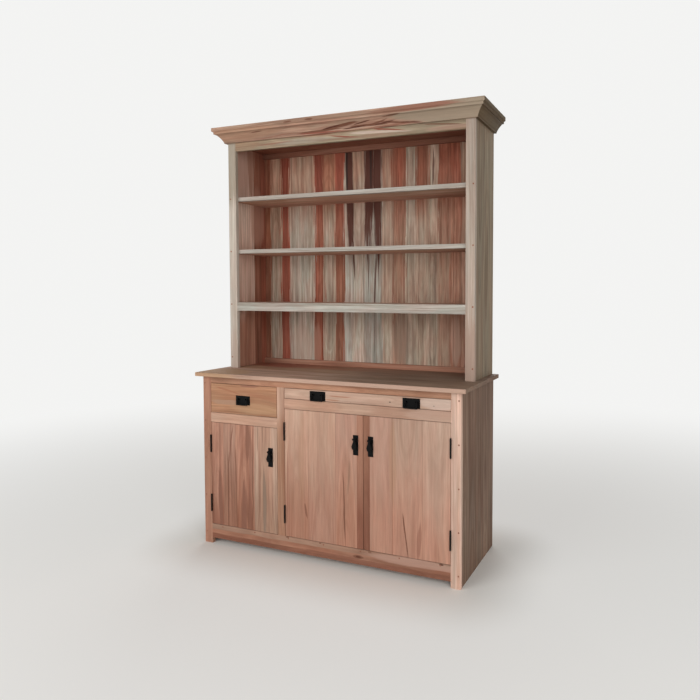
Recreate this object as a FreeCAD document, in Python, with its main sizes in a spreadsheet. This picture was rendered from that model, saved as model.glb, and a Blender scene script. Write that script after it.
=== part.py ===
import FreeCAD, Part
import os
import re
import Sketcher

# Step back cupboard: an open hutch with a crown, standing on a deeper base cabinet.
# Frame: X to the right seen from the front, Y to the back, Z up from the floor.
# The origin is on the floor, under the middle of the counter's plan.

SIZES = {
    # base cabinet
    "base_width": 1452,
    "base_depth": 500,
    "counter_height": 914,
    "top_thickness": 20,
    "top_front_overhang": 29,
    "top_side_overhang": 29,
    "top_edge_round": 2.5,
    "side_thickness": 20,
    "divider_thickness": 20,
    "bottom_thickness": 19,
    "housing_depth": 6,
    "back_thickness": 12,
    "rabbet_width": 10,
    "left_shelf_height": 370,
    "right_shelf_height": 425,
    "inner_shelf_thickness": 18,
    "inner_shelf_setback": 40,
    # face frame of the base
    "frame_thickness": 20,
    "stile_width": 48,
    "middle_stile_width": 44,
    "left_bay_width": 419,
    "top_rail_height": 34,
    "left_drawer_opening": 158,
    "left_drawer_rail_height": 50,
    "wide_drawer_opening": 55,
    "wide_drawer_rail_height": 50,
    "bottom_rail_height": 75,
    "bottom_rail_clearance": 30,
    "tenon_length": 18,
    "tenon_thickness": 7,
    "tenon_shoulder": 6,
    "plug_radius": 4,
    "plug_depth": 8,
    "plug_clearance": 0.05,
    "plug_edge_distance": 11,
    "stile_plug_start": 60,
    "stile_plug_end": 38,
    "rail_plug_start": 117,
    "rail_plug_end": 99,
    "inset_clearance": 0.5,
    # drawers and what carries them
    "front_gap": 2,
    "drawer_back_room": 38.5,
    "drawer_side_thickness": 12,
    "drawer_back_thickness": 12,
    "drawer_bottom_thickness": 6,
    "drawer_bottom_lift": 8,
    "drawer_lap": 10,
    "drawer_groove_depth": 5,
    "drawer_headroom": 5,
    "slide_clearance": 0.3,
    "guide_clearance": 0.5,
    "runner_height": 20,
    "runner_bearing": 25,
    "guide_height": 18,
    "stop_length": 20,
    # doors and hinges
    "door_stop_thickness": 12,
    "door_stop_height": 22,
    "door_stop_lap": 8,
    "hinge_height": 88,
    "hinge_inset": 115,
    "hinge_barrel_radius": 4,
    "hinge_pin_radius": 2,
    "hinge_running_clearance": 0.05,
    "hinge_knuckle_gap": 0.3,
    "hinge_leaf_thickness": 1.8,
    "hinge_leaf_width": 17,
    "hinge_leaf_gap": 0.4,
    "hinge_head_radius": 3,
    "hinge_head_height": 2.5,
    # drawer pulls
    "pull_plate_width": 88,
    "pull_plate_height": 46,
    "pull_plate_thickness": 2.5,
    "pull_plate_bevel": 1.2,
    "wide_pull_offset": 251,
    "pull_drop": 2,
    "post_spacing": 48,
    "post_radius": 4,
    "post_length": 15,
    "bail_pivot_out": 11,
    "bail_pivot_rise": 6,
    "bail_pin_radius": 2,
    "bail_pin_length": 6,
    "bail_side_gap": 0.4,
    "bail_arm_width": 6,
    "bail_bar_height": 7,
    "bail_drop": 31,
    "bail_thickness": 6,
    "bail_edge_round": 1.4,
    # door pulls
    "door_plate_width": 28,
    "door_plate_height": 97,
    "door_pull_inset": 39,
    "left_door_pull_drop": 154,
    "pair_pull_drop": 147,
    "pendant_pivot_rise": 30,
    "pendant_pivot_out": 14,
    "pendant_top_width": 9,
    "pendant_belly_width": 28,
    "pendant_belly_drop": 35,
    "pendant_foot_width": 18,
    "pendant_top_rise": 5,
    "pendant_drop": 49,
    "pendant_thickness": 8,
    "pendant_edge_round": 1.6,
    "pendant_pin_radius": 1.75,
    "ear_thickness": 3.5,
    "ear_radius": 5,
    "ear_side_gap": 0.4,
    "pull_running_clearance": 0.05,
    # hutch
    "hutch_inset": 6,
    "hutch_depth": 297,
    "hutch_height": 1311,
    "hutch_side_thickness": 20,
    "hutch_stile_width": 48,
    "hutch_top_rail_height": 116,
    "hutch_top_drop": 53,
    "hutch_top_thickness": 20,
    "shelf_rail_height": 46,
    "shelf_thickness": 21,
    "lower_shelf_height": 366,
    "middle_shelf_height": 658,
    "upper_shelf_height": 947,
    "back_rail_height": 28,
    "back_rail_thickness": 18,
    "dowel_radius": 5,
    "dowel_clearance": 0.1,
    "dowel_depth_below": 12,
    "dowel_depth_above": 24,
    "dowel_inset": 70,
    # tongue and groove back boards
    "tongue_length": 5,
    "tongue_thickness": 4,
    "board_gap": 0.6,
    # crown
    "crown_height": 77,
    "crown_projection": 62,
    "crown_rise": 6,
    "crown_fascia": 18,
    "crown_ledge": 8,
    "crown_fillet_drop": 5,
    "crown_neck": 10,
    "crown_quirk": 8,
    "crown_cove_radius": 110,
    "crown_foot_projection": 15,
    "crown_foot_height": 4,
}

BASE_BACK_BOARDS = 21
HUTCH_BACK_BOARDS = 21
STILE_PLUGS = 5
RAIL_PLUGS = 7
KNUCKLES = 5

# Where things lie, each worked out from the sizes above.
FACE = "((top_front_overhang - base_depth) / 2)"
BACK = "((top_front_overhang + base_depth) / 2)"
FRAME_BACK = f"({FACE} + frame_thickness)"
INSET_BACK = f"({FRAME_BACK} - inset_clearance)"
BOARD_FACE = f"({BACK} - back_thickness)"
DRAWER_REAR = f"({BOARD_FACE} - drawer_back_room)"
UNDER_TOP = "(counter_height - top_thickness)"
DRAWER_HEAD = f"({UNDER_TOP} - top_rail_height)"
LEFT_SILL = f"({DRAWER_HEAD} - left_drawer_opening)"
LEFT_DOOR_HEAD = f"({LEFT_SILL} - left_drawer_rail_height)"
WIDE_SILL = f"({DRAWER_HEAD} - wide_drawer_opening)"
PAIR_HEAD = f"({WIDE_SILL} - wide_drawer_rail_height)"
DOOR_SILL = "(bottom_rail_clearance + bottom_rail_height)"
SIDE_FACE = "(base_width / 2 - side_thickness)"
LEFT_EDGE = "(stile_width - base_width / 2)"
RIGHT_EDGE = "(base_width / 2 - stile_width)"
MIDDLE_LEFT = f"({LEFT_EDGE} + left_bay_width)"
MIDDLE_RIGHT = f"({MIDDLE_LEFT} + middle_stile_width)"
DIVIDER_LEFT = f"({MIDDLE_LEFT} + (middle_stile_width - divider_thickness) / 2)"
DIVIDER_RIGHT = f"({DIVIDER_LEFT} + divider_thickness)"
SEAM = f"(({MIDDLE_RIGHT} + {RIGHT_EDGE}) / 2)"
HUTCH_FACE = f"({BACK} - hutch_depth)"
HUTCH_FRAME_BACK = f"({HUTCH_FACE} + frame_thickness)"
HALF_HUTCH = "(base_width / 2 - hutch_inset)"
HUTCH_SIDE_FACE = f"({HALF_HUTCH} - hutch_side_thickness)"
HUTCH_OPENING = f"({HALF_HUTCH} - hutch_stile_width)"
HUTCH_TOP = "(counter_height + hutch_height)"
CEILING = f"({HUTCH_TOP} - hutch_top_drop - hutch_top_thickness)"
CROWN_BASE = f"({HUTCH_TOP} + crown_rise - crown_height)"

ALONG = {
    "x": FreeCAD.Rotation(FreeCAD.Vector(0, 1, 0), 90),
    "y": FreeCAD.Rotation(FreeCAD.Vector(1, 0, 0), -90),
    "z": FreeCAD.Rotation(),
}

doc = FreeCAD.newDocument("step_back_cupboard")
nodes = []


def make_sheet():
    """Put every driving size in the sheet under its own name."""
    sheet = doc.addObject("Spreadsheet::Sheet", "dims")
    for row, (name, size) in enumerate(SIZES.items(), start=1):
        sheet.set(f"A{row}", name)
        sheet.set(f"B{row}", str(size))
        sheet.setAlias(f"B{row}", name)
    doc.recompute()
    return sheet


def bind(text):
    """Turn an expression over size names into one that reads the sheet."""
    return re.sub(r"[a-z_]+", lambda word: f"dims.{word[0]}" if word[0] in SIZES else word[0], text)


def value(text):
    """The present number of an expression, for a sketch's first guess."""
    return float(sheet.evalExpression(bind(text)))


def node(piece, label):
    """Name a finished sub-part and put it on the list of files."""
    piece.Label = label
    nodes.append(piece)
    return piece


def board(name, x, y, z):
    """A box between low and high expressions on each axis."""
    piece = doc.addObject("Part::Box", name)
    for size, place, (low, high) in zip(("Length", "Width", "Height"), "xyz", (x, y, z)):
        piece.setExpression(size, bind(f"({high}) - ({low})"))
        piece.setExpression(f"Placement.Base.{place}", bind(low))
    return piece


def rod(name, axis, start, length, radius):
    """A cylinder along an axis from its start point."""
    piece = doc.addObject("Part::Cylinder", name)
    piece.Placement = FreeCAD.Placement(FreeCAD.Vector(), ALONG[axis])
    piece.setExpression("Radius", bind(radius))
    piece.setExpression("Height", bind(length))
    for place, position in zip("xyz", start):
        piece.setExpression(f"Placement.Base.{place}", bind(position))
    return piece


def group(name, pieces):
    """Separate solids kept together."""
    piece = doc.addObject("Part::Compound", name)
    piece.Links = pieces
    return piece


def join(name, pieces):
    """Several forms made one solid."""
    piece = doc.addObject("Part::MultiFuse", name)
    piece.Shapes = pieces
    piece.Refine = True
    return piece


def cut(name, base, tools):
    """A form with the given forms taken out of it."""
    piece = doc.addObject("Part::Cut", name)
    piece.Base = base
    piece.Tool = tools[0] if len(tools) == 1 else group(f"{name}_tools", tools)
    piece.Refine = True
    return piece


def new_body(name, place):
    """A body whose local origin lies at the given expressions."""
    body = doc.addObject("PartDesign::Body", name)
    for axis, position in zip("xyz", place):
        body.setExpression(f"Placement.Base.{axis}", bind(position))
    return body


def outline(body, name, plane, points, arcs=None):
    """A closed sketch through points; arcs maps a side's number to its radius and its bulge."""
    sketch = body.newObject("Sketcher::SketchObject", name)
    support = [feature for feature in body.Origin.OriginFeatures if feature.Role == plane]
    sketch.AttachmentSupport = [(support[0], "")]
    sketch.MapMode = "FlatFace"
    arcs = arcs or {}
    corners = [FreeCAD.Vector(value(across), value(up), 0) for across, up in points]
    count = len(corners)
    ends = []
    for side in range(count):
        start, end = corners[side], corners[(side + 1) % count]
        if side in arcs:
            radius, bulge = arcs[side]
            sketch.addGeometry(arc_between(start, end, value(radius), bulge))
            ends.append((1, 2) if bulge > 0 else (2, 1))
        else:
            sketch.addGeometry(Part.LineSegment(start, end))
            ends.append((1, 2))
    for side in range(count):
        following = (side + 1) % count
        sketch.addConstraint(
            Sketcher.Constraint("Coincident", side, ends[side][1], following, ends[following][0])
        )
    for side, (across, up) in enumerate(points):
        for kind, letter, position in (("DistanceX", "x", across), ("DistanceY", "y", up)):
            number = sketch.addConstraint(
                Sketcher.Constraint(kind, -1, 1, side, ends[side][0], value(position))
            )
            sketch.renameConstraint(number, f"{letter}{side}")
            sketch.setExpression(f"Constraints.{letter}{side}", bind(position))
    for side, (radius, _) in arcs.items():
        number = sketch.addConstraint(Sketcher.Constraint("Radius", side, value(radius)))
        sketch.renameConstraint(number, f"radius{side}")
        sketch.setExpression(f"Constraints.radius{side}", bind(radius))
    return sketch


def arc_between(start, end, radius, bulge):
    """A circle's arc under a half turn; a positive bulge turns anticlockwise from start to end."""
    chord = end - start
    middle = (start + end) * 0.5
    across = FreeCAD.Vector(-chord.y, chord.x, 0).normalize()
    rise = (radius**2 - (chord.Length / 2) ** 2) ** 0.5
    centre = middle + across * (rise * bulge)
    tip = centre - across * (radius * bulge)
    return Part.Arc(start, tip, end)


def pad(body, sketch, length, direction="One side", backwards=False):
    """Thicken a sketch by an expression's length."""
    feature = body.newObject("PartDesign::Pad", f"{sketch.Name}_pad")
    feature.Profile = sketch
    feature.SideType = direction
    feature.Reversed = backwards
    feature.setExpression("Length", bind(length))
    return feature


def rounded(body, feature, radius):
    """Round every edge of a body's last feature."""
    fillet = body.newObject("PartDesign::Fillet", f"{feature.Name}_round")
    fillet.Base = (feature, [""])
    fillet.UseAllEdges = True
    fillet.setExpression("Radius", bind(radius))
    return fillet


def frame_rail(name, x, face, z):
    """A face-frame rail with a stub tenon on each end; returns the form and its two tenons."""
    tenon_y = (
        f"{face} + (frame_thickness - tenon_thickness) / 2",
        f"{face} + (frame_thickness + tenon_thickness) / 2",
    )
    tenon_z = (f"{z[0]} + tenon_shoulder", f"{z[1]} - tenon_shoulder")
    left = board(f"{name}_left_tenon", (f"{x[0]} - tenon_length", x[0]), tenon_y, tenon_z)
    right = board(f"{name}_right_tenon", (x[1], f"{x[1]} + tenon_length"), tenon_y, tenon_z)
    bar = board(f"{name}_bar", x, (face, f"{face} + frame_thickness"), z)
    return join(f"{name}_form", [bar, left, right]), left, right


def plug(name, x, face, z):
    """A wooden plug flush with a frame's face, and the hole that it fills."""
    start = (x, face, z)
    filler = rod(name, "y", start, "plug_depth", "plug_radius")
    hole = rod(f"{name}_hole", "y", start, "plug_depth", "plug_radius + plug_clearance")
    return filler, hole


def matched_boards(name, count, half_width, z):
    """Vertical back boards side by side, each with a tongue that runs in its neighbour's groove."""
    width = f"(2 * {half_width} / {count})"
    boards = []
    for number in range(count):
        low = f"-{half_width} + {number} * {width}"
        high = f"-{half_width} + {number + 1} * {width}"
        if number < count - 1:
            high = f"{high} - board_gap"
        slat = board(f"{name}_{number + 1}_slat", (low, high), (BOARD_FACE, BACK), z)
        tongue_y = (
            f"{BOARD_FACE} + (back_thickness - tongue_thickness) / 2",
            f"{BOARD_FACE} + (back_thickness + tongue_thickness) / 2",
        )
        if number > 0:
            groove = board(
                f"{name}_{number + 1}_groove", (low, f"{low} + tongue_length"), tongue_y, z
            )
            slat = cut(f"{name}_{number + 1}_grooved", slat, [groove])
        if number < count - 1:
            tongue = board(
                f"{name}_{number + 1}_tongue", (high, f"{high} + tongue_length"), tongue_y, z
            )
            slat = join(f"{name}_{number + 1}", [slat, tongue])
        boards.append(slat)
    return group(f"{name}_boards", boards)


def hinge(name, edge, toward_door, head_or_sill):
    """A butt hinge at an opening's edge: frame leaf, door leaf, pin, and the two mortises."""
    axis_x = f"({edge} + {toward_door} * front_gap / 2)"
    axis_y = f"({FACE} - hinge_barrel_radius - hinge_knuckle_gap)"
    low = f"({head_or_sill} - hinge_height / 2)"
    pitch = f"(hinge_height / {KNUCKLES})"
    leaves = {"frame": [], "door": []}
    for number in range(KNUCKLES):
        owner = "door" if number % 2 else "frame"
        start = f"{low} + {number} * {pitch} + hinge_knuckle_gap / 2"
        length = f"{pitch} - hinge_knuckle_gap"
        knuckle = rod(
            f"{name}_knuckle_{number}", "z", (axis_x, axis_y, start), length, "hinge_barrel_radius"
        )
        tab = board(
            f"{name}_tab_{number}",
            leaf_span(axis_x, toward_door, owner),
            (axis_y, f"{FACE} + hinge_knuckle_gap"),
            (start, f"{start} + {length}"),
        )
        leaves[owner] += [knuckle, tab]
    bore = rod(
        f"{name}_bore",
        "z",
        (axis_x, axis_y, low),
        "hinge_height",
        "hinge_pin_radius + hinge_running_clearance",
    )
    plates = {}
    finished = {}
    for owner in leaves:
        plates[owner] = board(
            f"{name}_{owner}_plate",
            leaf_span(axis_x, toward_door, owner),
            (FACE, f"{FACE} + hinge_leaf_width"),
            (low, f"{low} + hinge_height"),
        )
        solid = join(f"{name}_{owner}_solid", [plates[owner]] + leaves[owner])
        finished[owner] = cut(f"{name}_{owner}_leaf", solid, [bore])
    shaft = rod(f"{name}_shaft", "z", (axis_x, axis_y, low), "hinge_height", "hinge_pin_radius")
    foot = rod(
        f"{name}_foot",
        "z",
        (axis_x, axis_y, f"{low} - hinge_head_height"),
        "hinge_head_height",
        "hinge_head_radius",
    )
    cap = rod(
        f"{name}_cap",
        "z",
        (axis_x, axis_y, f"{low} + hinge_height"),
        "hinge_head_height",
        "hinge_head_radius",
    )
    pin = join(f"{name}_pin", [shaft, foot, cap])
    return finished, plates, pin


def leaf_span(axis_x, toward_door, owner):
    """The low and high X of a closed hinge's leaf on its own side of the axis."""
    side = toward_door if owner == "door" else -toward_door
    near = f"{axis_x} + {side} * hinge_leaf_gap / 2"
    far = f"{axis_x} + {side} * (hinge_leaf_gap / 2 + hinge_leaf_thickness)"
    return (near, far) if side > 0 else (far, near)


def drawer(label, x, z):
    """A drawer in an opening: its front, its box and its bottom."""
    left = f"{x[0]} + front_gap"
    right = f"{x[1]} - front_gap"
    base = f"{z[0]} + slide_clearance"
    top = f"{z[1]} - drawer_headroom"
    floor = f"{base} + drawer_bottom_lift"
    side_y = (f"{INSET_BACK} - drawer_lap", DRAWER_REAR)
    left_side = board(f"{label}_left", (left, f"{left} + drawer_side_thickness"), side_y, (base, top))
    right_side = board(
        f"{label}_right", (f"{right} - drawer_side_thickness", right), side_y, (base, top)
    )
    inner = (
        f"{left} + drawer_side_thickness - drawer_groove_depth",
        f"{right} - drawer_side_thickness + drawer_groove_depth",
    )
    panel = board(
        f"{label}_panel",
        inner,
        (f"{INSET_BACK} - drawer_groove_depth", DRAWER_REAR),
        (floor, f"{floor} + drawer_bottom_thickness"),
    )
    back_face = f"{DRAWER_REAR} - drawer_groove_depth"
    back = board(
        f"{label}_back",
        inner,
        (f"{back_face} - drawer_back_thickness", back_face),
        (f"{floor} + drawer_bottom_thickness", top),
    )
    face = board(
        f"{label}_face",
        (left, right),
        (FACE, INSET_BACK),
        (f"{z[0]} + front_gap", f"{z[1]} - front_gap"),
    )
    sides = [
        cut(f"{label}_left_side", left_side, [panel, back]),
        cut(f"{label}_right_side", right_side, [panel, back]),
    ]
    node(cut(f"{label}_front", face, [left_side, right_side, panel]), f"{label}_front")
    node(group(f"{label}_box", sides + [back]), f"{label}_box")
    node(panel, f"{label}_bottom")


def drawer_runners(name, x_outer, x_opening, inward, sill):
    """One side of a drawer's way: the runner under it, the guide beside it and the stop behind it."""
    y = (FRAME_BACK, BOARD_FACE)
    bearing = f"{x_opening} + {inward} * runner_bearing"
    guide = f"{x_opening} + {inward} * (front_gap - guide_clearance)"
    rear = f"{DRAWER_REAR} + slide_clearance"

    def span(a, b):
        return (a, b) if inward > 0 else (b, a)

    return [
        board(f"{name}_runner", span(x_outer, bearing), y, (f"{sill} - runner_height", sill)),
        board(f"{name}_guide", span(x_outer, guide), y, (sill, f"{sill} + guide_height")),
        board(
            f"{name}_stop",
            span(guide, bearing),
            (rear, f"{rear} + stop_length"),
            (sill, f"{sill} + guide_height"),
        ),
    ]


def bevelled_plate(name, place, width, height):
    """A thin upright plate with its front face's edges bevelled."""
    body = new_body(name, place)
    corners = [
        (f"-{width} / 2", f"-{height} / 2"),
        (f"{width} / 2", f"-{height} / 2"),
        (f"{width} / 2", f"{height} / 2"),
        (f"-{width} / 2", f"{height} / 2"),
    ]
    plate = pad(body, outline(body, f"{name}_outline", "XZ_Plane", corners), "pull_plate_thickness")
    doc.recompute()
    front = [
        f"Face{number}"
        for number, face in enumerate(plate.Shape.Faces, start=1)
        if face.normalAt(0, 0).getAngle(FreeCAD.Vector(0, -1, 0)) < 0.1
    ]
    bevel = body.newObject("PartDesign::Chamfer", f"{name}_bevel")
    bevel.Base = (plate, front)
    bevel.setExpression("Size", bind("pull_plate_bevel"))
    return body


def pull_plate(name, x, z):
    """A drawer pull's bevelled plate with two bored posts."""
    body = bevelled_plate(name, (x, FACE, z), "pull_plate_width", "pull_plate_height")
    pivot_z = f"{z} + bail_pivot_rise"
    posts = []
    bores = []
    for side in (-1, 1):
        post_x = f"{x} + {side} * post_spacing / 2"
        foot = f"{FACE} - pull_plate_thickness - post_length"
        posts.append(
            rod(f"{name}_post_{side + 1}", "y", (post_x, foot, pivot_z), "post_length", "post_radius")
        )
        bores.append(
            rod(
                f"{name}_bore_{side + 1}",
                "x",
                (f"{post_x} - post_radius", f"{FACE} - bail_pivot_out", pivot_z),
                "2 * post_radius",
                "bail_pin_radius + pull_running_clearance",
            )
        )
    return cut(f"{name}_bored", join(f"{name}_solid", [body] + posts), bores)


def bail(name, x, z):
    """A drawer pull's bail: a U of flat bar with a pin on the inside of each arm."""
    pivot_z = f"{z} + bail_pivot_rise"
    pivot_y = f"{FACE} - bail_pivot_out"
    body = new_body(name, (x, pivot_y, pivot_z))
    inner = "(post_spacing / 2 + post_radius + bail_side_gap)"
    outer = f"({inner} + bail_arm_width)"
    crest = "(bail_pin_radius + bail_thickness / 2)"
    corners = [
        (f"-{outer}", "-bail_drop"),
        (outer, "-bail_drop"),
        (outer, crest),
        (inner, crest),
        (inner, "bail_bar_height - bail_drop"),
        (f"-{inner}", "bail_bar_height - bail_drop"),
        (f"-{inner}", crest),
        (f"-{outer}", crest),
    ]
    bar = pad(body, outline(body, f"{name}_outline", "XZ_Plane", corners), "bail_thickness", "Symmetric")
    rounded(body, bar, "bail_edge_round")
    pins = []
    for side in (-1, 1):
        tip = f"{x} + {inner} - bail_pin_length" if side > 0 else f"{x} - {inner} - bail_arm_width / 2"
        pins.append(
            rod(
                f"{name}_pin_{side + 1}",
                "x",
                (tip, pivot_y, pivot_z),
                "bail_pin_length + bail_arm_width / 2",
                "bail_pin_radius",
            )
        )
    return join(f"{name}_solid", [body] + pins)


def door_plate(name, x, z):
    """A door pull's bevelled plate with two bored ears near its top."""
    body = bevelled_plate(name, (x, FACE, z), "door_plate_width", "door_plate_height")
    pivot_z = f"{z} + pendant_pivot_rise"
    pivot_y = f"{FACE} - pendant_pivot_out"
    ears = []
    for side in (-1, 1):
        near = f"{x} + {side} * (pendant_top_width / 2 + ear_side_gap)"
        far = f"{x} + {side} * (pendant_top_width / 2 + ear_side_gap + ear_thickness)"
        low, high = (near, far) if side > 0 else (far, near)
        ears.append(
            board(
                f"{name}_ear_{side + 1}",
                (low, high),
                (pivot_y, f"{FACE} - pull_plate_thickness"),
                (f"{pivot_z} - ear_radius", f"{pivot_z} + ear_radius"),
            )
        )
        ears.append(
            rod(f"{name}_nose_{side + 1}", "x", (low, pivot_y, pivot_z), "ear_thickness", "ear_radius")
        )
    bore = rod(
        f"{name}_bore",
        "x",
        (f"{x} - door_plate_width / 2", pivot_y, pivot_z),
        "door_plate_width",
        "pendant_pin_radius + pull_running_clearance",
    )
    return cut(f"{name}_bored", join(f"{name}_solid", [body] + ears), [bore])


def pendant(name, x, z):
    """A door pull's pendant, flared to a belly above its foot, with a trunnion across its top."""
    pivot_z = f"{z} + pendant_pivot_rise"
    pivot_y = f"{FACE} - pendant_pivot_out"
    body = new_body(name, (x, pivot_y, pivot_z))
    corners = [
        ("-pendant_foot_width / 2", "-pendant_drop"),
        ("pendant_foot_width / 2", "-pendant_drop"),
        ("pendant_belly_width / 2", "-pendant_belly_drop"),
        ("pendant_top_width / 2", "-ear_radius - ear_side_gap"),
        ("pendant_top_width / 2", "pendant_top_rise"),
        ("-pendant_top_width / 2", "pendant_top_rise"),
        ("-pendant_top_width / 2", "-ear_radius - ear_side_gap"),
        ("-pendant_belly_width / 2", "-pendant_belly_drop"),
    ]
    sketch = outline(body, f"{name}_outline", "XZ_Plane", corners)
    drop = pad(body, sketch, "pendant_thickness", "Symmetric")
    rounded(body, drop, "pendant_edge_round")
    reach = "(pendant_top_width / 2 + ear_side_gap + ear_thickness)"
    trunnion = rod(
        f"{name}_trunnion",
        "x",
        (f"{x} - {reach}", pivot_y, pivot_z),
        f"2 * {reach}",
        "pendant_pin_radius",
    )
    return join(f"{name}_solid", [body, trunnion])


def crown_profile(flip):
    """The crown's section: outward from the case, upward from the crown's foot."""
    fascia_foot = "crown_height - crown_fascia"
    neck = "crown_projection - crown_ledge"
    neck_head = f"{fascia_foot} - crown_fillet_drop"
    neck_foot = f"{neck_head} - crown_neck"
    points = [
        ("0", "0"),
        ("crown_foot_projection", "0"),
        ("crown_foot_projection", "crown_foot_height"),
        (f"{neck} - crown_quirk", neck_foot),
        (neck, neck_foot),
        (neck, neck_head),
        ("crown_projection", fascia_foot),
        ("crown_projection", "crown_height"),
        ("0", "crown_height"),
    ]
    return [(f"{flip} * ({out})", up) for out, up in points]


def crown_piece(label, plane, flip, place, length, direction, mitres):
    """A length of crown with its mitres cut in plan."""
    body = new_body(label, place)
    profile = outline(
        body,
        f"{label}_profile",
        plane,
        crown_profile(flip),
        {2: ("crown_cove_radius", -flip)},
    )
    length_pad = pad(body, profile, length, direction)
    for number, corners in enumerate(mitres):
        sketch = outline(body, f"{label}_mitre_{number}", "XY_Plane", corners)
        notch = body.newObject("PartDesign::Pocket", f"{label}_mitre_cut_{number}")
        notch.Profile = sketch
        notch.SideType = "Symmetric"
        notch.setExpression("Length", bind("4 * crown_height"))
    doc.recompute()
    if mitres and not body.Shape.Volume < length_pad.Shape.Volume:
        raise ValueError(f"{label}: the mitre takes nothing away")
    return node(body, label)


def base_carcase():
    """Sides, divider, bottom, shelves, back boards and counter of the base cabinet."""
    inside_y = (FRAME_BACK, BOARD_FACE)
    bottom_z = (f"{DOOR_SILL} - bottom_thickness", DOOR_SILL)
    bottom = board(
        "bottom_slab",
        (f"-{SIDE_FACE} - housing_depth", f"{SIDE_FACE} + housing_depth"),
        inside_y,
        bottom_z,
    )
    shelf_y = (f"{FRAME_BACK} + inner_shelf_setback", BOARD_FACE)
    left_shelf = board(
        "left_shelf",
        (f"-{SIDE_FACE} - housing_depth", f"{DIVIDER_LEFT} + housing_depth"),
        shelf_y,
        ("left_shelf_height", "left_shelf_height + inner_shelf_thickness"),
    )
    right_shelf = board(
        "right_shelf",
        (f"{DIVIDER_RIGHT} - housing_depth", f"{SIDE_FACE} + housing_depth"),
        shelf_y,
        ("right_shelf_height", "right_shelf_height + inner_shelf_thickness"),
    )
    divider = board(
        "divider_slab",
        (DIVIDER_LEFT, DIVIDER_RIGHT),
        inside_y,
        (f"{DOOR_SILL} - housing_depth", UNDER_TOP),
    )
    rabbet = board(
        "base_rabbet",
        (f"-{SIDE_FACE} - rabbet_width", f"{SIDE_FACE} + rabbet_width"),
        (BOARD_FACE, BACK),
        (bottom_z[0], UNDER_TOP),
    )
    side_y = (FRAME_BACK, BACK)
    left = board("left_slab", ("-base_width / 2", f"-{SIDE_FACE}"), side_y, ("0", UNDER_TOP))
    right = board("right_slab", (SIDE_FACE, "base_width / 2"), side_y, ("0", UNDER_TOP))
    node(cut("left_side", left, [bottom, left_shelf, rabbet]), "base_left_side")
    node(cut("right_side", right, [bottom, right_shelf, rabbet]), "base_right_side")
    node(cut("divider", divider, [left_shelf, right_shelf]), "base_divider")
    node(cut("bottom", bottom, [divider]), "base_bottom")
    node(left_shelf, "base_left_shelf")
    node(right_shelf, "base_right_shelf")
    backs = matched_boards(
        "base_back", BASE_BACK_BOARDS, f"({SIDE_FACE} + rabbet_width)", (bottom_z[0], UNDER_TOP)
    )
    node(backs, "base_back_boards")


def counter(dowel_holes):
    """The counter's slab with eased edges, bored for the hutch's dowels."""
    body = new_body("counter_slab", ("0", "0", UNDER_TOP))
    half_width = "(base_width / 2 + top_side_overhang)"
    front = f"{FACE} - top_front_overhang"
    corners = [
        (f"-{half_width}", front),
        (half_width, front),
        (half_width, BACK),
        (f"-{half_width}", BACK),
    ]
    slab = pad(body, outline(body, "counter_outline", "XY_Plane", corners), "top_thickness")
    rounded(body, slab, "top_edge_round")
    node(cut("counter", body, dowel_holes), "counter_top")


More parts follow.
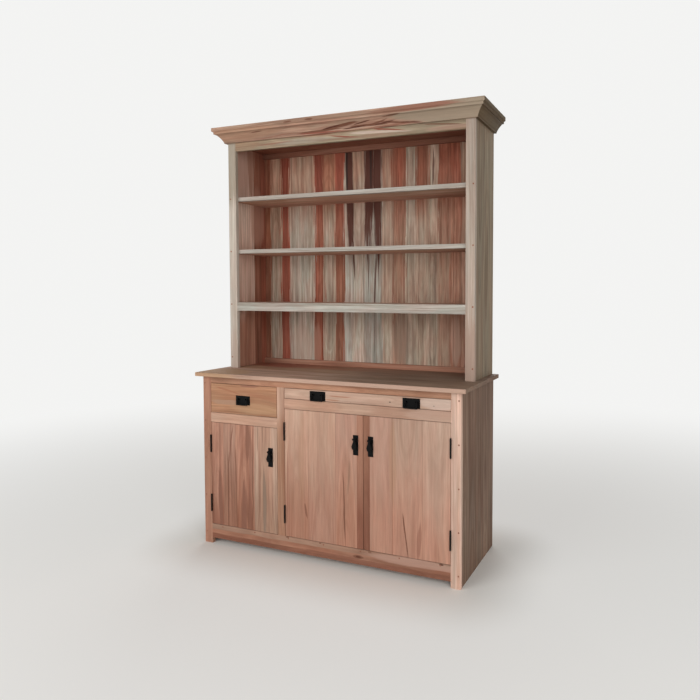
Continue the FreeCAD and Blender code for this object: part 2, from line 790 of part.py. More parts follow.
def face_frame(leaf_plates):
    """Stiles, rails and plugs on the front of the base."""
    frame_y = (FACE, FRAME_BACK)
    full_height = ("0", UNDER_TOP)
    top_rail, top_left, top_right = frame_rail(
        "top_rail", (LEFT_EDGE, RIGHT_EDGE), FACE, (DRAWER_HEAD, UNDER_TOP)
    )
    bottom_rail, bottom_left, bottom_right = frame_rail(
        "bottom_rail", (LEFT_EDGE, RIGHT_EDGE), FACE, ("bottom_rail_clearance", DOOR_SILL)
    )
    left_rail, left_left, left_right = frame_rail(
        "left_rail", (LEFT_EDGE, MIDDLE_LEFT), FACE, (LEFT_DOOR_HEAD, LEFT_SILL)
    )
    wide_rail, wide_left, wide_right = frame_rail(
        "wide_rail", (MIDDLE_RIGHT, RIGHT_EDGE), FACE, (PAIR_HEAD, WIDE_SILL)
    )
    tenon_x = (f"{MIDDLE_LEFT} + tenon_shoulder", f"{MIDDLE_RIGHT} - tenon_shoulder")
    tenon_y = (
        f"{FACE} + (frame_thickness - tenon_thickness) / 2",
        f"{FACE} + (frame_thickness + tenon_thickness) / 2",
    )
    middle_bar = board("middle_bar", (MIDDLE_LEFT, MIDDLE_RIGHT), frame_y, (DOOR_SILL, DRAWER_HEAD))
    head_tenon = board(
        "middle_head_tenon", tenon_x, tenon_y, (DRAWER_HEAD, f"{DRAWER_HEAD} + tenon_length")
    )
    foot_tenon = board(
        "middle_foot_tenon", tenon_x, tenon_y, (f"{DOOR_SILL} - tenon_length", DOOR_SILL)
    )
    middle = join("middle_form", [middle_bar, head_tenon, foot_tenon])

    plugs = []
    holes = {"left": [], "right": [], "bottom": []}
    for side, sign in (("left", -1), ("right", 1)):
        x = f"{sign} * (base_width / 2 - plug_edge_distance)"
        stile_pitch = f"({UNDER_TOP} - stile_plug_start - stile_plug_end) / {STILE_PLUGS - 1}"
        for number in range(STILE_PLUGS):
            height = f"stile_plug_start + {number} * {stile_pitch}"
            filler, hole = plug(f"{side}_stile_plug_{number}", x, FACE, height)
            plugs.append(filler)
            holes[side].append(hole)
    rail_pitch = f"(base_width - rail_plug_start - rail_plug_end) / {RAIL_PLUGS - 1}"
    for number in range(RAIL_PLUGS):
        x = f"-base_width / 2 + rail_plug_start + {number} * {rail_pitch}"
        filler, hole = plug(f"rail_plug_{number}", x, FACE, f"{DOOR_SILL} - bottom_thickness / 2")
        plugs.append(filler)
        holes["bottom"].append(hole)

    left_slab = board("left_stile_bar", ("-base_width / 2", LEFT_EDGE), frame_y, full_height)
    right_slab = board("right_stile_bar", (RIGHT_EDGE, "base_width / 2"), frame_y, full_height)
    left_tools = [top_left, bottom_left, left_left] + leaf_plates["left_door"] + holes["left"]
    right_tools = [top_right, bottom_right, wide_right] + leaf_plates["right_door"] + holes["right"]
    middle_tools = [left_right, wide_left] + leaf_plates["centre_door"]
    node(cut("left_stile", left_slab, left_tools), "base_left_stile")
    node(cut("right_stile", right_slab, right_tools), "base_right_stile")
    node(cut("middle_stile", middle, middle_tools), "base_middle_stile")
    node(cut("top_rail", top_rail, [head_tenon]), "base_top_rail")
    node(left_rail, "base_left_drawer_rail")
    node(wide_rail, "base_wide_drawer_rail")
    node(cut("bottom_rail", bottom_rail, [foot_tenon] + holes["bottom"]), "base_bottom_rail")
    return plugs


def base_inner_pieces():
    """Drawer runners, counter cleats and door stops behind the face frame."""
    ways = (
        ("left_drawer_left", f"-{SIDE_FACE}", LEFT_EDGE, 1, LEFT_SILL),
        ("left_drawer_right", DIVIDER_LEFT, MIDDLE_LEFT, -1, LEFT_SILL),
        ("wide_drawer_left", DIVIDER_RIGHT, MIDDLE_RIGHT, 1, WIDE_SILL),
        ("wide_drawer_right", SIDE_FACE, RIGHT_EDGE, -1, WIDE_SILL),
    )
    runners = []
    cleats = []
    for name, outer, opening, inward, sill in ways:
        runners += drawer_runners(name, outer, opening, inward, sill)
        bearing = f"{opening} + {inward} * runner_bearing"
        span = (outer, bearing) if inward > 0 else (bearing, outer)
        cleats.append(
            board(f"{name}_cleat", span, (FRAME_BACK, BOARD_FACE), (DRAWER_HEAD, UNDER_TOP))
        )
    stop_y = (FRAME_BACK, f"{FRAME_BACK} + door_stop_thickness")
    stops = []
    for name, x, head in (
        ("left_stop", (f"-{SIDE_FACE}", DIVIDER_LEFT), LEFT_DOOR_HEAD),
        ("pair_stop", (DIVIDER_RIGHT, SIDE_FACE), PAIR_HEAD),
    ):
        foot = f"{head} - door_stop_lap"
        stops.append(board(name, x, stop_y, (foot, f"{foot} + door_stop_height")))
    node(group("runners", runners), "drawer_runners")
    node(group("cleats", cleats), "counter_cleats")
    node(group("stops", stops), "door_stops")


def doors():
    """The three doors with their hinges; returns the frame leaves' mortises by door."""
    ways = (
        ("left_door", (LEFT_EDGE, MIDDLE_LEFT), LEFT_EDGE, 1, LEFT_DOOR_HEAD),
        ("centre_door", (MIDDLE_RIGHT, f"{SEAM} + front_gap / 2"), MIDDLE_RIGHT, 1, PAIR_HEAD),
        ("right_door", (f"{SEAM} - front_gap / 2", RIGHT_EDGE), RIGHT_EDGE, -1, PAIR_HEAD),
    )
    frame_leaves = []
    pins = []
    mortises = {}
    for label, x, edge, toward_door, head in ways:
        heights = (f"({DOOR_SILL} + hinge_inset)", f"({head} - hinge_inset)")
        door_leaves = []
        door_plates = []
        mortises[label] = []
        for number, height in enumerate(heights):
            leaves, plates, pin = hinge(f"{label}_hinge_{number}", edge, toward_door, height)
            frame_leaves.append(leaves["frame"])
            door_leaves.append(leaves["door"])
            door_plates.append(plates["door"])
            mortises[label].append(plates["frame"])
            pins.append(pin)
        slab = board(
            f"{label}_slab",
            (f"{x[0]} + front_gap", f"{x[1]} - front_gap"),
            (FACE, INSET_BACK),
            (f"{DOOR_SILL} + front_gap", f"{head} - front_gap"),
        )
        node(cut(f"{label}_cut", slab, door_plates), f"{label}_panel")
        node(group(f"{label}_leaves", door_leaves), f"{label}_hinge_leaves")
    node(group("frame_leaves", frame_leaves), "frame_hinge_leaves")
    node(group("pins", pins), "hinge_pins")
    return mortises


def door_pulls():
    """A plate and a pendant on each door, near its free edge."""
    left_z = f"({LEFT_DOOR_HEAD} - left_door_pull_drop)"
    pair_z = f"({PAIR_HEAD} - pair_pull_drop)"
    ways = (
        ("left_door", f"{MIDDLE_LEFT} - front_gap - door_pull_inset", left_z),
        ("centre_door", f"{SEAM} - front_gap / 2 - door_pull_inset", pair_z),
        ("right_door", f"{SEAM} + front_gap / 2 + door_pull_inset", pair_z),
    )
    for label, x, z in ways:
        node(door_plate(f"{label}_plate", f"({x})", z), f"{label}_pull_plate")
        node(pendant(f"{label}_drop", f"({x})", z), f"{label}_pendant")


def drawers():
    """Both drawers with their pulls."""
    drawer("left_drawer", (LEFT_EDGE, MIDDLE_LEFT), (LEFT_SILL, DRAWER_HEAD))
    drawer("wide_drawer", (MIDDLE_RIGHT, RIGHT_EDGE), (WIDE_SILL, DRAWER_HEAD))
    left_x = f"(({LEFT_EDGE} + {MIDDLE_LEFT}) / 2)"
    left_z = f"(({LEFT_SILL} + {DRAWER_HEAD}) / 2 - pull_drop)"
    wide_z = f"(({WIDE_SILL} + {DRAWER_HEAD}) / 2 - pull_drop)"
    node(pull_plate("left_drawer_plate", left_x, left_z), "left_drawer_pull_plate")
    node(bail("left_drawer_handle", left_x, left_z), "left_drawer_bail")
    plates = []
    for side, sign in (("left", -1), ("right", 1)):
        x = f"({SEAM} + {sign} * wide_pull_offset)"
        plates.append(pull_plate(f"wide_drawer_{side}_plate", x, wide_z))
        node(bail(f"wide_drawer_{side}_handle", x, wide_z), f"wide_drawer_{side}_bail")
    node(group("wide_drawer_plates", plates), "wide_drawer_pull_plates")


def hutch_dowels():
    """Dowels between the counter and the hutch's sides, with their holes."""
    dowels = []
    holes = []
    for side in (-1, 1):
        x = f"{side} * ({HALF_HUTCH} - hutch_side_thickness / 2)"
        for end, y in enumerate((f"{HUTCH_FRAME_BACK} + dowel_inset", f"{BACK} - dowel_inset")):
            start = (x, y, "counter_height - dowel_depth_below")
            length = "dowel_depth_below + dowel_depth_above"
            name = f"dowel_{side + 1}_{end}"
            dowels.append(rod(name, "z", start, length, "dowel_radius"))
            holes.append(rod(f"{name}_hole", "z", start, length, "dowel_radius + dowel_clearance"))
    node(group("dowels", dowels), "hutch_dowels")
    return holes


def hutch(dowel_holes):
    """The open upper case: sides, face frame, shelves, ceiling, back boards and back rails."""
    shelf_y = (HUTCH_FRAME_BACK, BOARD_FACE)
    shelf_x = (f"-{HUTCH_SIDE_FACE} - housing_depth", f"{HUTCH_SIDE_FACE} + housing_depth")
    heights = ("lower_shelf_height", "middle_shelf_height", "upper_shelf_height")
    shelves = []
    for height in heights:
        top = f"counter_height + {height}"
        shelf = board(f"hutch_{height}_board", shelf_x, shelf_y, (f"{top} - shelf_thickness", top))
        shelves.append(node(shelf, f"hutch_{height[:-len('_height')]}"))
    ceiling = board(
        "hutch_ceiling", shelf_x, shelf_y, (CEILING, f"{CEILING} + hutch_top_thickness")
    )
    node(ceiling, "hutch_top_board")
    half_back = f"({HUTCH_SIDE_FACE} + rabbet_width)"
    back_z = ("counter_height", f"{CEILING} + hutch_top_thickness")
    rabbet = board("hutch_rabbet", (f"-{half_back}", half_back), (BOARD_FACE, BACK), back_z)
    node(matched_boards("hutch_back", HUTCH_BACK_BOARDS, half_back, back_z), "hutch_back_boards")
    rail_y = (f"{BOARD_FACE} - back_rail_thickness", BOARD_FACE)
    rail_x = (f"-{HUTCH_SIDE_FACE}", HUTCH_SIDE_FACE)
    low_z = ("counter_height", "counter_height + back_rail_height")
    high_z = (f"{CEILING} - back_rail_height", CEILING)
    lower = board("hutch_lower_back_rail", rail_x, rail_y, low_z)
    upper = board("hutch_upper_back_rail", rail_x, rail_y, high_z)
    node(group("hutch_back_rail_pair", [lower, upper]), "hutch_back_rails")

    top_rail, top_left, top_right = frame_rail(
        "hutch_frieze",
        (f"-{HUTCH_OPENING}", HUTCH_OPENING),
        HUTCH_FACE,
        (f"{HUTCH_TOP} - hutch_top_rail_height", HUTCH_TOP),
    )
    shelf_top = "counter_height + lower_shelf_height"
    shelf_rail, shelf_left, shelf_right = frame_rail(
        "hutch_nosing",
        (f"-{HUTCH_OPENING}", HUTCH_OPENING),
        HUTCH_FACE,
        (f"{shelf_top} - shelf_rail_height", shelf_top),
    )
    node(top_rail, "hutch_top_rail")
    node(shelf_rail, "hutch_shelf_rail")

    plugs = []
    case_z = ("counter_height", HUTCH_TOP)
    ends = (("left", -1, [top_left, shelf_left]), ("right", 1, [top_right, shelf_right]))
    for side, sign, tenons in ends:
        holes = []
        plug_heights = ["counter_height + stile_plug_start"]
        plug_heights += [f"counter_height + {height} - shelf_thickness / 2" for height in heights]
        for number, height in enumerate(plug_heights):
            x = f"{sign} * ({HALF_HUTCH} - plug_edge_distance)"
            filler, hole = plug(f"hutch_{side}_plug_{number}", x, HUTCH_FACE, height)
            plugs.append(filler)
            holes.append(hole)
        outer = f"{sign} * {HALF_HUTCH}"
        stile_x = (outer, f"{sign} * {HUTCH_OPENING}")
        side_x = (outer, f"{sign} * {HUTCH_SIDE_FACE}")
        if sign > 0:
            stile_x = stile_x[::-1]
            side_x = side_x[::-1]
        stile = board(f"hutch_{side}_stile_bar", stile_x, (HUTCH_FACE, HUTCH_FRAME_BACK), case_z)
        node(cut(f"hutch_{side}_stile", stile, tenons + holes), f"hutch_{side}_stile")
        panel = board(f"hutch_{side}_slab", side_x, (HUTCH_FRAME_BACK, BACK), case_z)
        tools = shelves + [ceiling, rabbet] + dowel_holes
        node(cut(f"hutch_{side}_side", panel, tools), f"hutch_{side}_side")
    return plugs


def crown():
    """The crown's front and its two mitred returns to the back."""
    tip = f"({HALF_HUTCH} + crown_projection)"
    crown_piece(
        "crown_front",
        "YZ_Plane",
        -1,
        ("0", HUTCH_FACE, CROWN_BASE),
        f"2 * {tip}",
        "Symmetric",
        [
            [(HALF_HUTCH, "0"), (tip, "-crown_projection"), (tip, "0")],
            [(f"-{HALF_HUTCH}", "0"), (f"-{tip}", "0"), (f"-{tip}", "-crown_projection")],
        ],
    )
    reach = "(hutch_depth + crown_projection)"
    for label, flip in (("crown_left", -1), ("crown_right", 1)):
        corner = [("0", "-hutch_depth"), (f"{flip} * crown_projection", f"-{reach}"), ("0", f"-{reach}")]
        crown_piece(
            label,
            "XZ_Plane",
            flip,
            (f"{flip} * {HALF_HUTCH}", BACK, CROWN_BASE),
            reach,
            "One side",
            [corner if flip < 0 else corner[::-1]],
        )


def write_parts():
    """Check every object and every sub-part, then write one file for each sub-part."""
    doc.recompute()
    for piece in doc.Objects:
        if "Invalid" in piece.State or "Error" in piece.State:
            raise ValueError(f"{piece.Name} did not build: {piece.State}")
    for piece in nodes:
        if piece.Shape.isNull() or not piece.Shape.isValid():
            raise ValueError(f"{piece.Label} has no valid shape")
    os.makedirs("parts", exist_ok=True)
    for piece in nodes:
        piece.Shape.exportStep(f"parts/{piece.Label}.step")
        print(f"{piece.Label}: {len(piece.Shape.Solids)} solid(s), {piece.Shape.Volume / 1000:.1f} cm3")


sheet = make_sheet()
base_carcase()
frame_plugs = face_frame(doors())
base_inner_pieces()
drawers()
door_pulls()
dowel_holes = hutch_dowels()
counter(dowel_holes)
frame_plugs += hutch(dowel_holes)
node(group("plugs", frame_plugs), "frame_plugs")
crown()
write_parts()
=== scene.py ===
from collections import namedtuple
import math

import bmesh
import bpy
from mathutils import Matrix, Vector


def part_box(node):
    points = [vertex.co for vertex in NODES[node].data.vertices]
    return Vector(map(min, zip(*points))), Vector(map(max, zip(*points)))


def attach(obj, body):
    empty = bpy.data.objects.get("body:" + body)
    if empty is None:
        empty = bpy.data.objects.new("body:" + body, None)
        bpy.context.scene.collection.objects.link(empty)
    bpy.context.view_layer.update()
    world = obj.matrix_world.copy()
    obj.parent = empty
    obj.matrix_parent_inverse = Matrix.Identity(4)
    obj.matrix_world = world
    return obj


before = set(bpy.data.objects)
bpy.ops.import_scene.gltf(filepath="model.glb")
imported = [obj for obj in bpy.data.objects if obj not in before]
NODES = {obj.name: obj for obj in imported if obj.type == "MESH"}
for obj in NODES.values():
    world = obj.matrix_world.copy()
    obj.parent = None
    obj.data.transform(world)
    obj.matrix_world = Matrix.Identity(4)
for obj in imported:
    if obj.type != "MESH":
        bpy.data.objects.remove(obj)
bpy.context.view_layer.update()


def chart(red, green, blue):
    """A colour-chart value, 0 to 255 in each channel, as the linear colour that shaders take."""
    linear = []
    for level in (red, green, blue):
        share = level / 255
        linear.append(share / 12.92 if share <= 0.04045 else ((share + 0.055) / 1.055) ** 2.4)
    return (*linear, 1.0)


# The maple's tones: pale sapwood, pinks and browns, dull ones, then red heartwood and dark stain.
TONES = {
    "petal": chart(216, 197, 186),
    "pale": chart(212, 184, 170),
    "white": chart(185, 181, 174),
    "bone": chart(171, 168, 163),
    "stone": chart(170, 161, 153),
    "linen": chart(186, 158, 142),
    "cream": chart(192, 160, 142),
    "silver": chart(171, 160, 149),
    "blush": chart(184, 148, 132),
    "pink": chart(182, 140, 122),
    "shell": chart(173, 131, 112),
    "rose": chart(164, 122, 103),
    "clay": chart(154, 112, 93),
    "cocoa": chart(132, 91, 75),
    "walnut": chart(110, 72, 56),
    "fawn": chart(172, 134, 112),
    "dun": chart(155, 127, 111),
    "ash": chart(170, 144, 129),
    "tan": chart(173, 133, 106),
    "straw": chart(168, 139, 118),
    "honey": chart(182, 146, 113),
    "moss": chart(152, 139, 121),
    "lichen": chart(141, 130, 113),
    "slate": chart(136, 116, 101),
    "smoke": chart(128, 107, 93),
    "umber": chart(140, 112, 93),
    "bark": chart(92, 78, 60),
    "brick": chart(146, 102, 85),
    "orange": chart(164, 112, 86),
    "rust": chart(148, 93, 76),
    "cherry": chart(158, 92, 77),
    "wine": chart(137, 76, 62),
    "red": chart(130, 80, 64),
    "dark": chart(80, 43, 33),
    "black": chart(38, 27, 24),
}
WHITE = (1.0, 1.0, 1.0, 1.0)

# The places of the colour sockets on a Mix node.
MIX_FACTOR = 0
MIX_FIRST = 6
MIX_SECOND = 7
MIX_RESULT = 2

# A figure in a material: its scale by each of three measures, its detail and its roughness.
Figure = namedtuple("Figure", "scales detail roughness")


class Graph:
    """A material's nodes, with short calls for what the woods, the iron and the floor share."""

    def __init__(self, name):
        self.material = bpy.data.materials.new(name)
        self.material.use_nodes = True
        self.tree = self.material.node_tree
        self.tree.nodes.clear()

    def add(self, kind, inputs=(), **settings):
        node = self.tree.nodes.new(kind)
        for key, value in settings.items():
            setattr(node, key, value)
        for key, value in dict(inputs).items():
            if isinstance(value, bpy.types.NodeSocket):
                self.tree.links.new(value, node.inputs[key])
            else:
                node.inputs[key].default_value = value
        return node

    def math(self, operation, *values):
        return self.add("ShaderNodeMath", enumerate(values), operation=operation).outputs[0]

    def ease(self, value, low, high, start=0.0, end=1.0):
        """Smoothly from start to end while value goes from low to high."""
        inputs = {"Value": value, "From Min": low, "From Max": high, "To Min": start, "To Max": end}
        return self.add("ShaderNodeMapRange", inputs, interpolation_type="SMOOTHSTEP").outputs["Result"]

    def mix(self, factor, first, second, blend="MIX"):
        inputs = {MIX_FACTOR: factor, MIX_FIRST: first, MIX_SECOND: second}
        node = self.add("ShaderNodeMix", inputs, data_type="RGBA", blend_type=blend)
        return node.outputs[MIX_RESULT]

    def scaled(self, values, factors):
        """A point from three values, each times its factor."""
        parts = [self.math("MULTIPLY", value, factor) for value, factor in zip(values, factors)]
        return self.add("ShaderNodeCombineXYZ", enumerate(parts)).outputs[0]

    def square(self, value):
        return self.math("MULTIPLY", value, value)

    def hypot(self, first, second):
        return self.math("SQRT", self.math("ADD", self.square(first), self.square(second)))

    def figure(self, measures, kind):
        """A figure's noise, about 0 to 1, by three measures."""
        inputs = {
            "Vector": self.scaled(measures, kind.scales),
            "Scale": 1.0,
            "Detail": kind.detail,
            "Roughness": kind.roughness,
        }
        return self.add("ShaderNodeTexNoise", inputs).outputs["Fac"]

    def steps(self, value, stops, mode="CONSTANT"):
        """A colour ramp through stops of (place from 0 to 1, colour)."""
        node = self.add("ShaderNodeValToRGB", {"Fac": value})
        ramp = node.color_ramp
        ramp.interpolation = mode
        ramp.elements.remove(ramp.elements[1])
        for number, (place, colour) in enumerate(stops):
            element = ramp.elements[0] if number == 0 else ramp.elements.new(place)
            element.position = place
            element.color = colour
        return node.outputs

    def axes(self):
        """The rest frame's X, Y and Z, in metres, as a dictionary of outputs."""
        place = self.add("ShaderNodeTexCoord").outputs["Object"]
        parts = self.add("ShaderNodeSeparateXYZ", {0: place}).outputs
        return dict(zip("xyz", parts))

    def surface(self, inputs, height, depth, strength):
        """Close the material with one surface shader, bumped by a height."""
        bump = self.add("ShaderNodeBump", {"Height": height, "Distance": depth, "Strength": strength})
        shader = self.add("ShaderNodeBsdfPrincipled", {**inputs, "Normal": bump.outputs["Normal"]})
        self.add("ShaderNodeOutputMaterial", {"Surface": shader.outputs[0]})
        return self.material


# A board runs from its start, across the grain, to the next board's start. Its red heart and its worm
# stain go from 0 to 1, and its foot is the tone it turns to at the low end of the grain.
Board = namedtuple("Board", "start tone heart stain foot", defaults=(None,))

# A streak: its middle, its half size across and along the grain, its lean, tone and strength.
Mark = namedtuple("Mark", "across along half_width half_length lean tone strength")

# A tint that goes from its first colour to its second while a figure goes from low to high.
Tint = namedtuple("Tint", "low high first second")

# Figures by three measures: along the grain, across it and through the wood.
SWAY = Figure((2.6, 9.0, 1.0), 3.0, 0.5)
FUZZ = Figure((4.0, 240.0, 240.0), 2.0, 0.5)
FIBRES = Figure((11.0, 620.0, 620.0), 2.0, 0.6)
LINES = Figure((1.0, 85.0, 85.0), 4.0, 0.75)
FLECKS = Figure((8.0, 75.0, 75.0), 3.0, 0.6)
BLOTCHES = Figure((5.0, 24.0, 24.0), 3.0, 0.6)
RAGGED = Figure((3.2, 120.0, 120.0), 3.0, 0.6)

# Figures about the pith: by the ring's radius, along the grain and by the board's own number.
RINGS = Figure((125.0, 1.3, 11.0), 3.0, 0.62)
BANDS = Figure((19.0, 0.8, 7.0), 4.0, 0.55)
WARMTH = Figure((28.0, 0.7, 13.0), 3.0, 0.6)
HEART = Figure((34.0, 0.8, 3.0), 5.0, 0.62)

# How far the pith sags: along the grain, and twice by the board's own number.
SAG = Figure((0.9, 5.0, 2.0), 1.0, 0.5)

# What each figure does to the colour under it.
BAND_TINT = Tint(0.34, 0.66, (0.86, 0.82, 0.79, 1.0), (1.15, 1.15, 1.14, 1.0))
RING_TINT = Tint(0.36, 0.62, (0.87, 0.83, 0.8, 1.0), (1.09, 1.09, 1.08, 1.0))
WARM_TINT = Tint(0.35, 0.65, (0.97, 1.01, 1.03, 1.0), (1.04, 0.98, 0.95, 1.0))
LINE_TINT = Tint(0.34, 0.66, (0.72, 0.67, 0.64, 1.0), (1.17, 1.18, 1.18, 1.0))
FLECK_TINT = Tint(0.36, 0.64, (0.82, 0.75, 0.71, 1.0), (1.12, 1.13, 1.12, 1.0))
BLOTCH_TINT = Tint(0.36, 0.64, (0.98, 1.04, 1.0, 1.0), (1.08, 0.93, 0.88, 1.0))
FIBRE_TINTS = ((0.87, 0.85, 0.83, 1.0), (1.13, 1.13, 1.13, 1.0))
GLUE_TINT = (0.6, 0.55, 0.5, 1.0)

# Multiples of this share spread boards' own numbers and screws' turns without a pattern.
GOLDEN = 0.618034

# Metres by which a board's own number shifts its figure, and by which the sway bends the grain and the
# turn from foot to head.
OWN_SHIFT_ALONG = 7.3
OWN_SHIFT_THROUGH = 3.1
GRAIN_BEND = 0.022
TURN_BEND = 0.6

# The pith's depth below the face: its span through the wood, its sag and the least it can be.
PITH_SPAN = 0.07
PITH_SAG = 0.11
PITH_LEAST = -0.02

# The stain's cells to a metre by three measures, its edges, and the pinholes, which only stained wood has.
STAIN_CELLS = (2.3, 21.0, 21.0)
LENS_FRAY = 0.42
LENS_EDGE = (0.62, 0.26)
LENS_CHOICE = (0.5, 0.75)
WORMHOLE_RADIUS = 0.0009
HOLE_EDGE = (1.3, 0.8)
HOLE_LENS = (0.02, 0.1)
HOLE_STAIN = (0.02, 0.2)

# Where the red heart and the marks fade, how far figures fray a mark's edge, and a glue line's half width.
HEART_EDGE = (0.5, 0.66)
MARK_EDGE = (1.15, 0.55)
RING_FRAY = 1.0
RAGGED_FRAY = 1.5
FIBRE_FRAY = 0.9
GLUE_LINE = 0.0011

# The planed face.
RING_RISE = 0.6
HOLE_RISE = -3.0
WOOD_BUMP_DEPTH = 0.0006
WOOD_BUMP_STRENGTH = 0.35
WOOD_GLOSS = 0.16
WOOD_ROUGHNESS = (0.2, 0.8, 0.7, 0.58)


class Timber(Graph):
    """Wormy maple whose grain runs along one axis and whose boards lie side by side along another."""

    def __init__(self, name, grain, across, boards, end):
        super().__init__(name)
        axes = self.axes()
        self.along, self.side = axes[grain], axes[across]
        self.through = axes[({"x", "y", "z"} - {grain, across}).pop()]
        self.place = (self.along, self.side, self.through)
        self.boards = boards
        self.low = boards[0].start
        self.width = end - self.low
        self.ends = [board.start for board in boards[1:]] + [end]
        self.drift = self.math("SUBTRACT", self.figure(self.place, SWAY), 0.5)

    def share(self, value):
        """Where a place across the grain lies between the first board's start and the last one's end."""
        if isinstance(value, bpy.types.NodeSocket):
            return self.math("DIVIDE", self.math("SUBTRACT", value, self.low), self.width)
        return max(0.0, (value - self.low) / self.width)

    def lay_boards(self, wander, turn):
        """Each board's tone, and its traits: an own number, red heart, worm stain and middle."""
        edge = self.side
        if wander:
            fuzz = self.math("MULTIPLY_ADD", self.figure(self.place, FUZZ), 2.0, -1.0)
            edge = self.math("MULTIPLY_ADD", self.math("ADD", self.drift, fuzz), wander, edge)
        lookup = self.share(edge)
        heads = []
        feet = []
        traits = []
        for number, board in enumerate(self.boards):
            place = self.share(board.start)
            middle = self.share((board.start + self.ends[number]) / 2)
            heads.append((place, TONES[board.tone]))
            feet.append((place, TONES[board.foot or board.tone]))
            traits.append((place, ((number + 1) * GOLDEN % 1, board.heart, board.stain, middle)))
        colour = self.steps(lookup, heads)["Color"]
        if any(board.foot for board in self.boards):
            height = self.math("MULTIPLY_ADD", self.drift, TURN_BEND, self.along)
            colour = self.mix(self.ease(height, *turn), self.steps(lookup, feet)["Color"], colour)
        ramp = self.steps(lookup, traits)
        self.own, self.heart, self.stain = self.add("ShaderNodeSeparateColor", {0: ramp["Color"]}).outputs
        self.middle = self.math("MULTIPLY_ADD", ramp["Alpha"], self.width, self.low)
        return colour

    def grow(self):
        """Growth rings about a pith that wavers below each board's middle, and the fibres along it."""
        run = self.math("MULTIPLY_ADD", self.own, OWN_SHIFT_ALONG, self.along)
        self.bent = self.math("MULTIPLY_ADD", self.drift, GRAIN_BEND, self.side)
        layer = self.math("MULTIPLY_ADD", self.own, OWN_SHIFT_THROUGH, self.through)
        sag = self.math("MULTIPLY_ADD", self.figure((run, self.own, self.own), SAG), PITH_SAG, PITH_LEAST)
        depth = self.math("ADD", self.math("PINGPONG", layer, PITH_SPAN), sag)
        radius = self.hypot(self.math("SUBTRACT", self.bent, self.middle), depth)
        self.grain = (run, self.bent, layer)
        self.pith = (radius, run, self.own)
        self.rings = self.figure(self.pith, RINGS)
        self.fibres = self.figure(self.grain, FIBRES)

    def tinted(self, colour, share, value, tint):
        shade = self.mix(self.ease(value, tint.low, tint.high), tint.first, tint.second)
        return self.mix(share, colour, shade, "MULTIPLY")

    def shade(self, colour, contrast, streaks, mottle, hearts):
        """Bands, rings, lines, flecks, blotches and the red heart, with so many hearts to a metre."""
        colour = self.tinted(colour, contrast, self.figure(self.pith, BANDS), BAND_TINT)
        colour = self.tinted(colour, contrast, self.rings, RING_TINT)
        colour = self.tinted(colour, contrast, self.figure(self.pith, WARMTH), WARM_TINT)
        colour = self.tinted(colour, streaks, self.figure(self.grain, LINES), LINE_TINT)
        colour = self.tinted(colour, mottle, self.figure(self.grain, FLECKS), FLECK_TINT)
        colour = self.tinted(colour, mottle, self.figure(self.grain, BLOTCHES), BLOTCH_TINT)
        red = self.figure(self.pith, HEART._replace(scales=(hearts, *HEART.scales[1:])))
        red = self.math("MULTIPLY", self.ease(red, *HEART_EDGE), self.heart)
        return self.mix(red, colour, TONES["red"])

    def infest(self, colour):
        """Ambrosia stain: dark lenses along the grain, each about a pinhole that a beetle left."""
        lattice = self.scaled(self.grain, STAIN_CELLS)
        inputs = {"Vector": lattice, "Scale": 1.0}
        cells = self.add("ShaderNodeTexVoronoi", inputs, voronoi_dimensions="3D").outputs
        self.ragged = self.figure(self.grain, RAGGED)
        lens = self.math("MULTIPLY_ADD", self.ragged, LENS_FRAY, cells["Distance"])
        chosen = self.add("ShaderNodeSeparateColor", {0: cells["Color"]}).outputs[0]
        lens = self.math("MULTIPLY", self.ease(lens, *LENS_EDGE), self.ease(chosen, *LENS_CHOICE))
        colour = self.mix(self.math("MULTIPLY", lens, self.stain), colour, TONES["dark"])
        inputs = {0: lattice, 1: cells["Position"]}
        offset = self.add("ShaderNodeVectorMath", inputs, operation="SUBTRACT").outputs[0]
        offsets = self.add("ShaderNodeSeparateXYZ", {0: offset}).outputs
        radii = [cell * WORMHOLE_RADIUS for cell in STAIN_CELLS]
        away = self.hypot(
            self.math("DIVIDE", offsets[0], radii[0]),
            self.math("DIVIDE", offsets[1], radii[1]),
        )
        hole = self.math("MULTIPLY", self.ease(away, *HOLE_EDGE), self.ease(lens, *HOLE_LENS))
        self.hole = self.math("MULTIPLY", hole, self.ease(self.stain, *HOLE_STAIN))
        return self.mix(self.hole, colour, TONES["black"])

    def streak(self, colour, mark):
        """A mark, its edge frayed by the rings, the ragged figure and the fibres."""
        run = self.math("SUBTRACT", self.along, mark.along)
        off = self.math("SUBTRACT", self.bent, mark.across)
        off = self.math("MULTIPLY_ADD", run, -mark.lean, off)
        reach = self.math(
            "ADD",
            self.square(self.math("DIVIDE", off, mark.half_width)),
            self.square(self.math("DIVIDE", run, mark.half_length)),
        )
        frays = ((self.rings, RING_FRAY), (self.ragged, RAGGED_FRAY), (self.fibres, FIBRE_FRAY))
        for figure, fray in frays:
            reach = self.math("MULTIPLY_ADD", self.math("SUBTRACT", figure, 0.5), fray, reach)
        return self.mix(self.ease(reach, *MARK_EDGE, 0.0, mark.strength), colour, TONES[mark.tone])

    def glue(self, colour):
        """A fine dark line where one board is glued to the next."""
        lines = [(0.0, WHITE)]
        for board in self.boards[1:]:
            lines.append((self.share(board.start - GLUE_LINE), WHITE))
            lines.append((self.share(board.start), GLUE_TINT))
            lines.append((self.share(board.start + GLUE_LINE), WHITE))
        tint = self.steps(self.share(self.side), lines, "LINEAR")["Color"]
        return self.mix(1.0, colour, tint, "MULTIPLY")

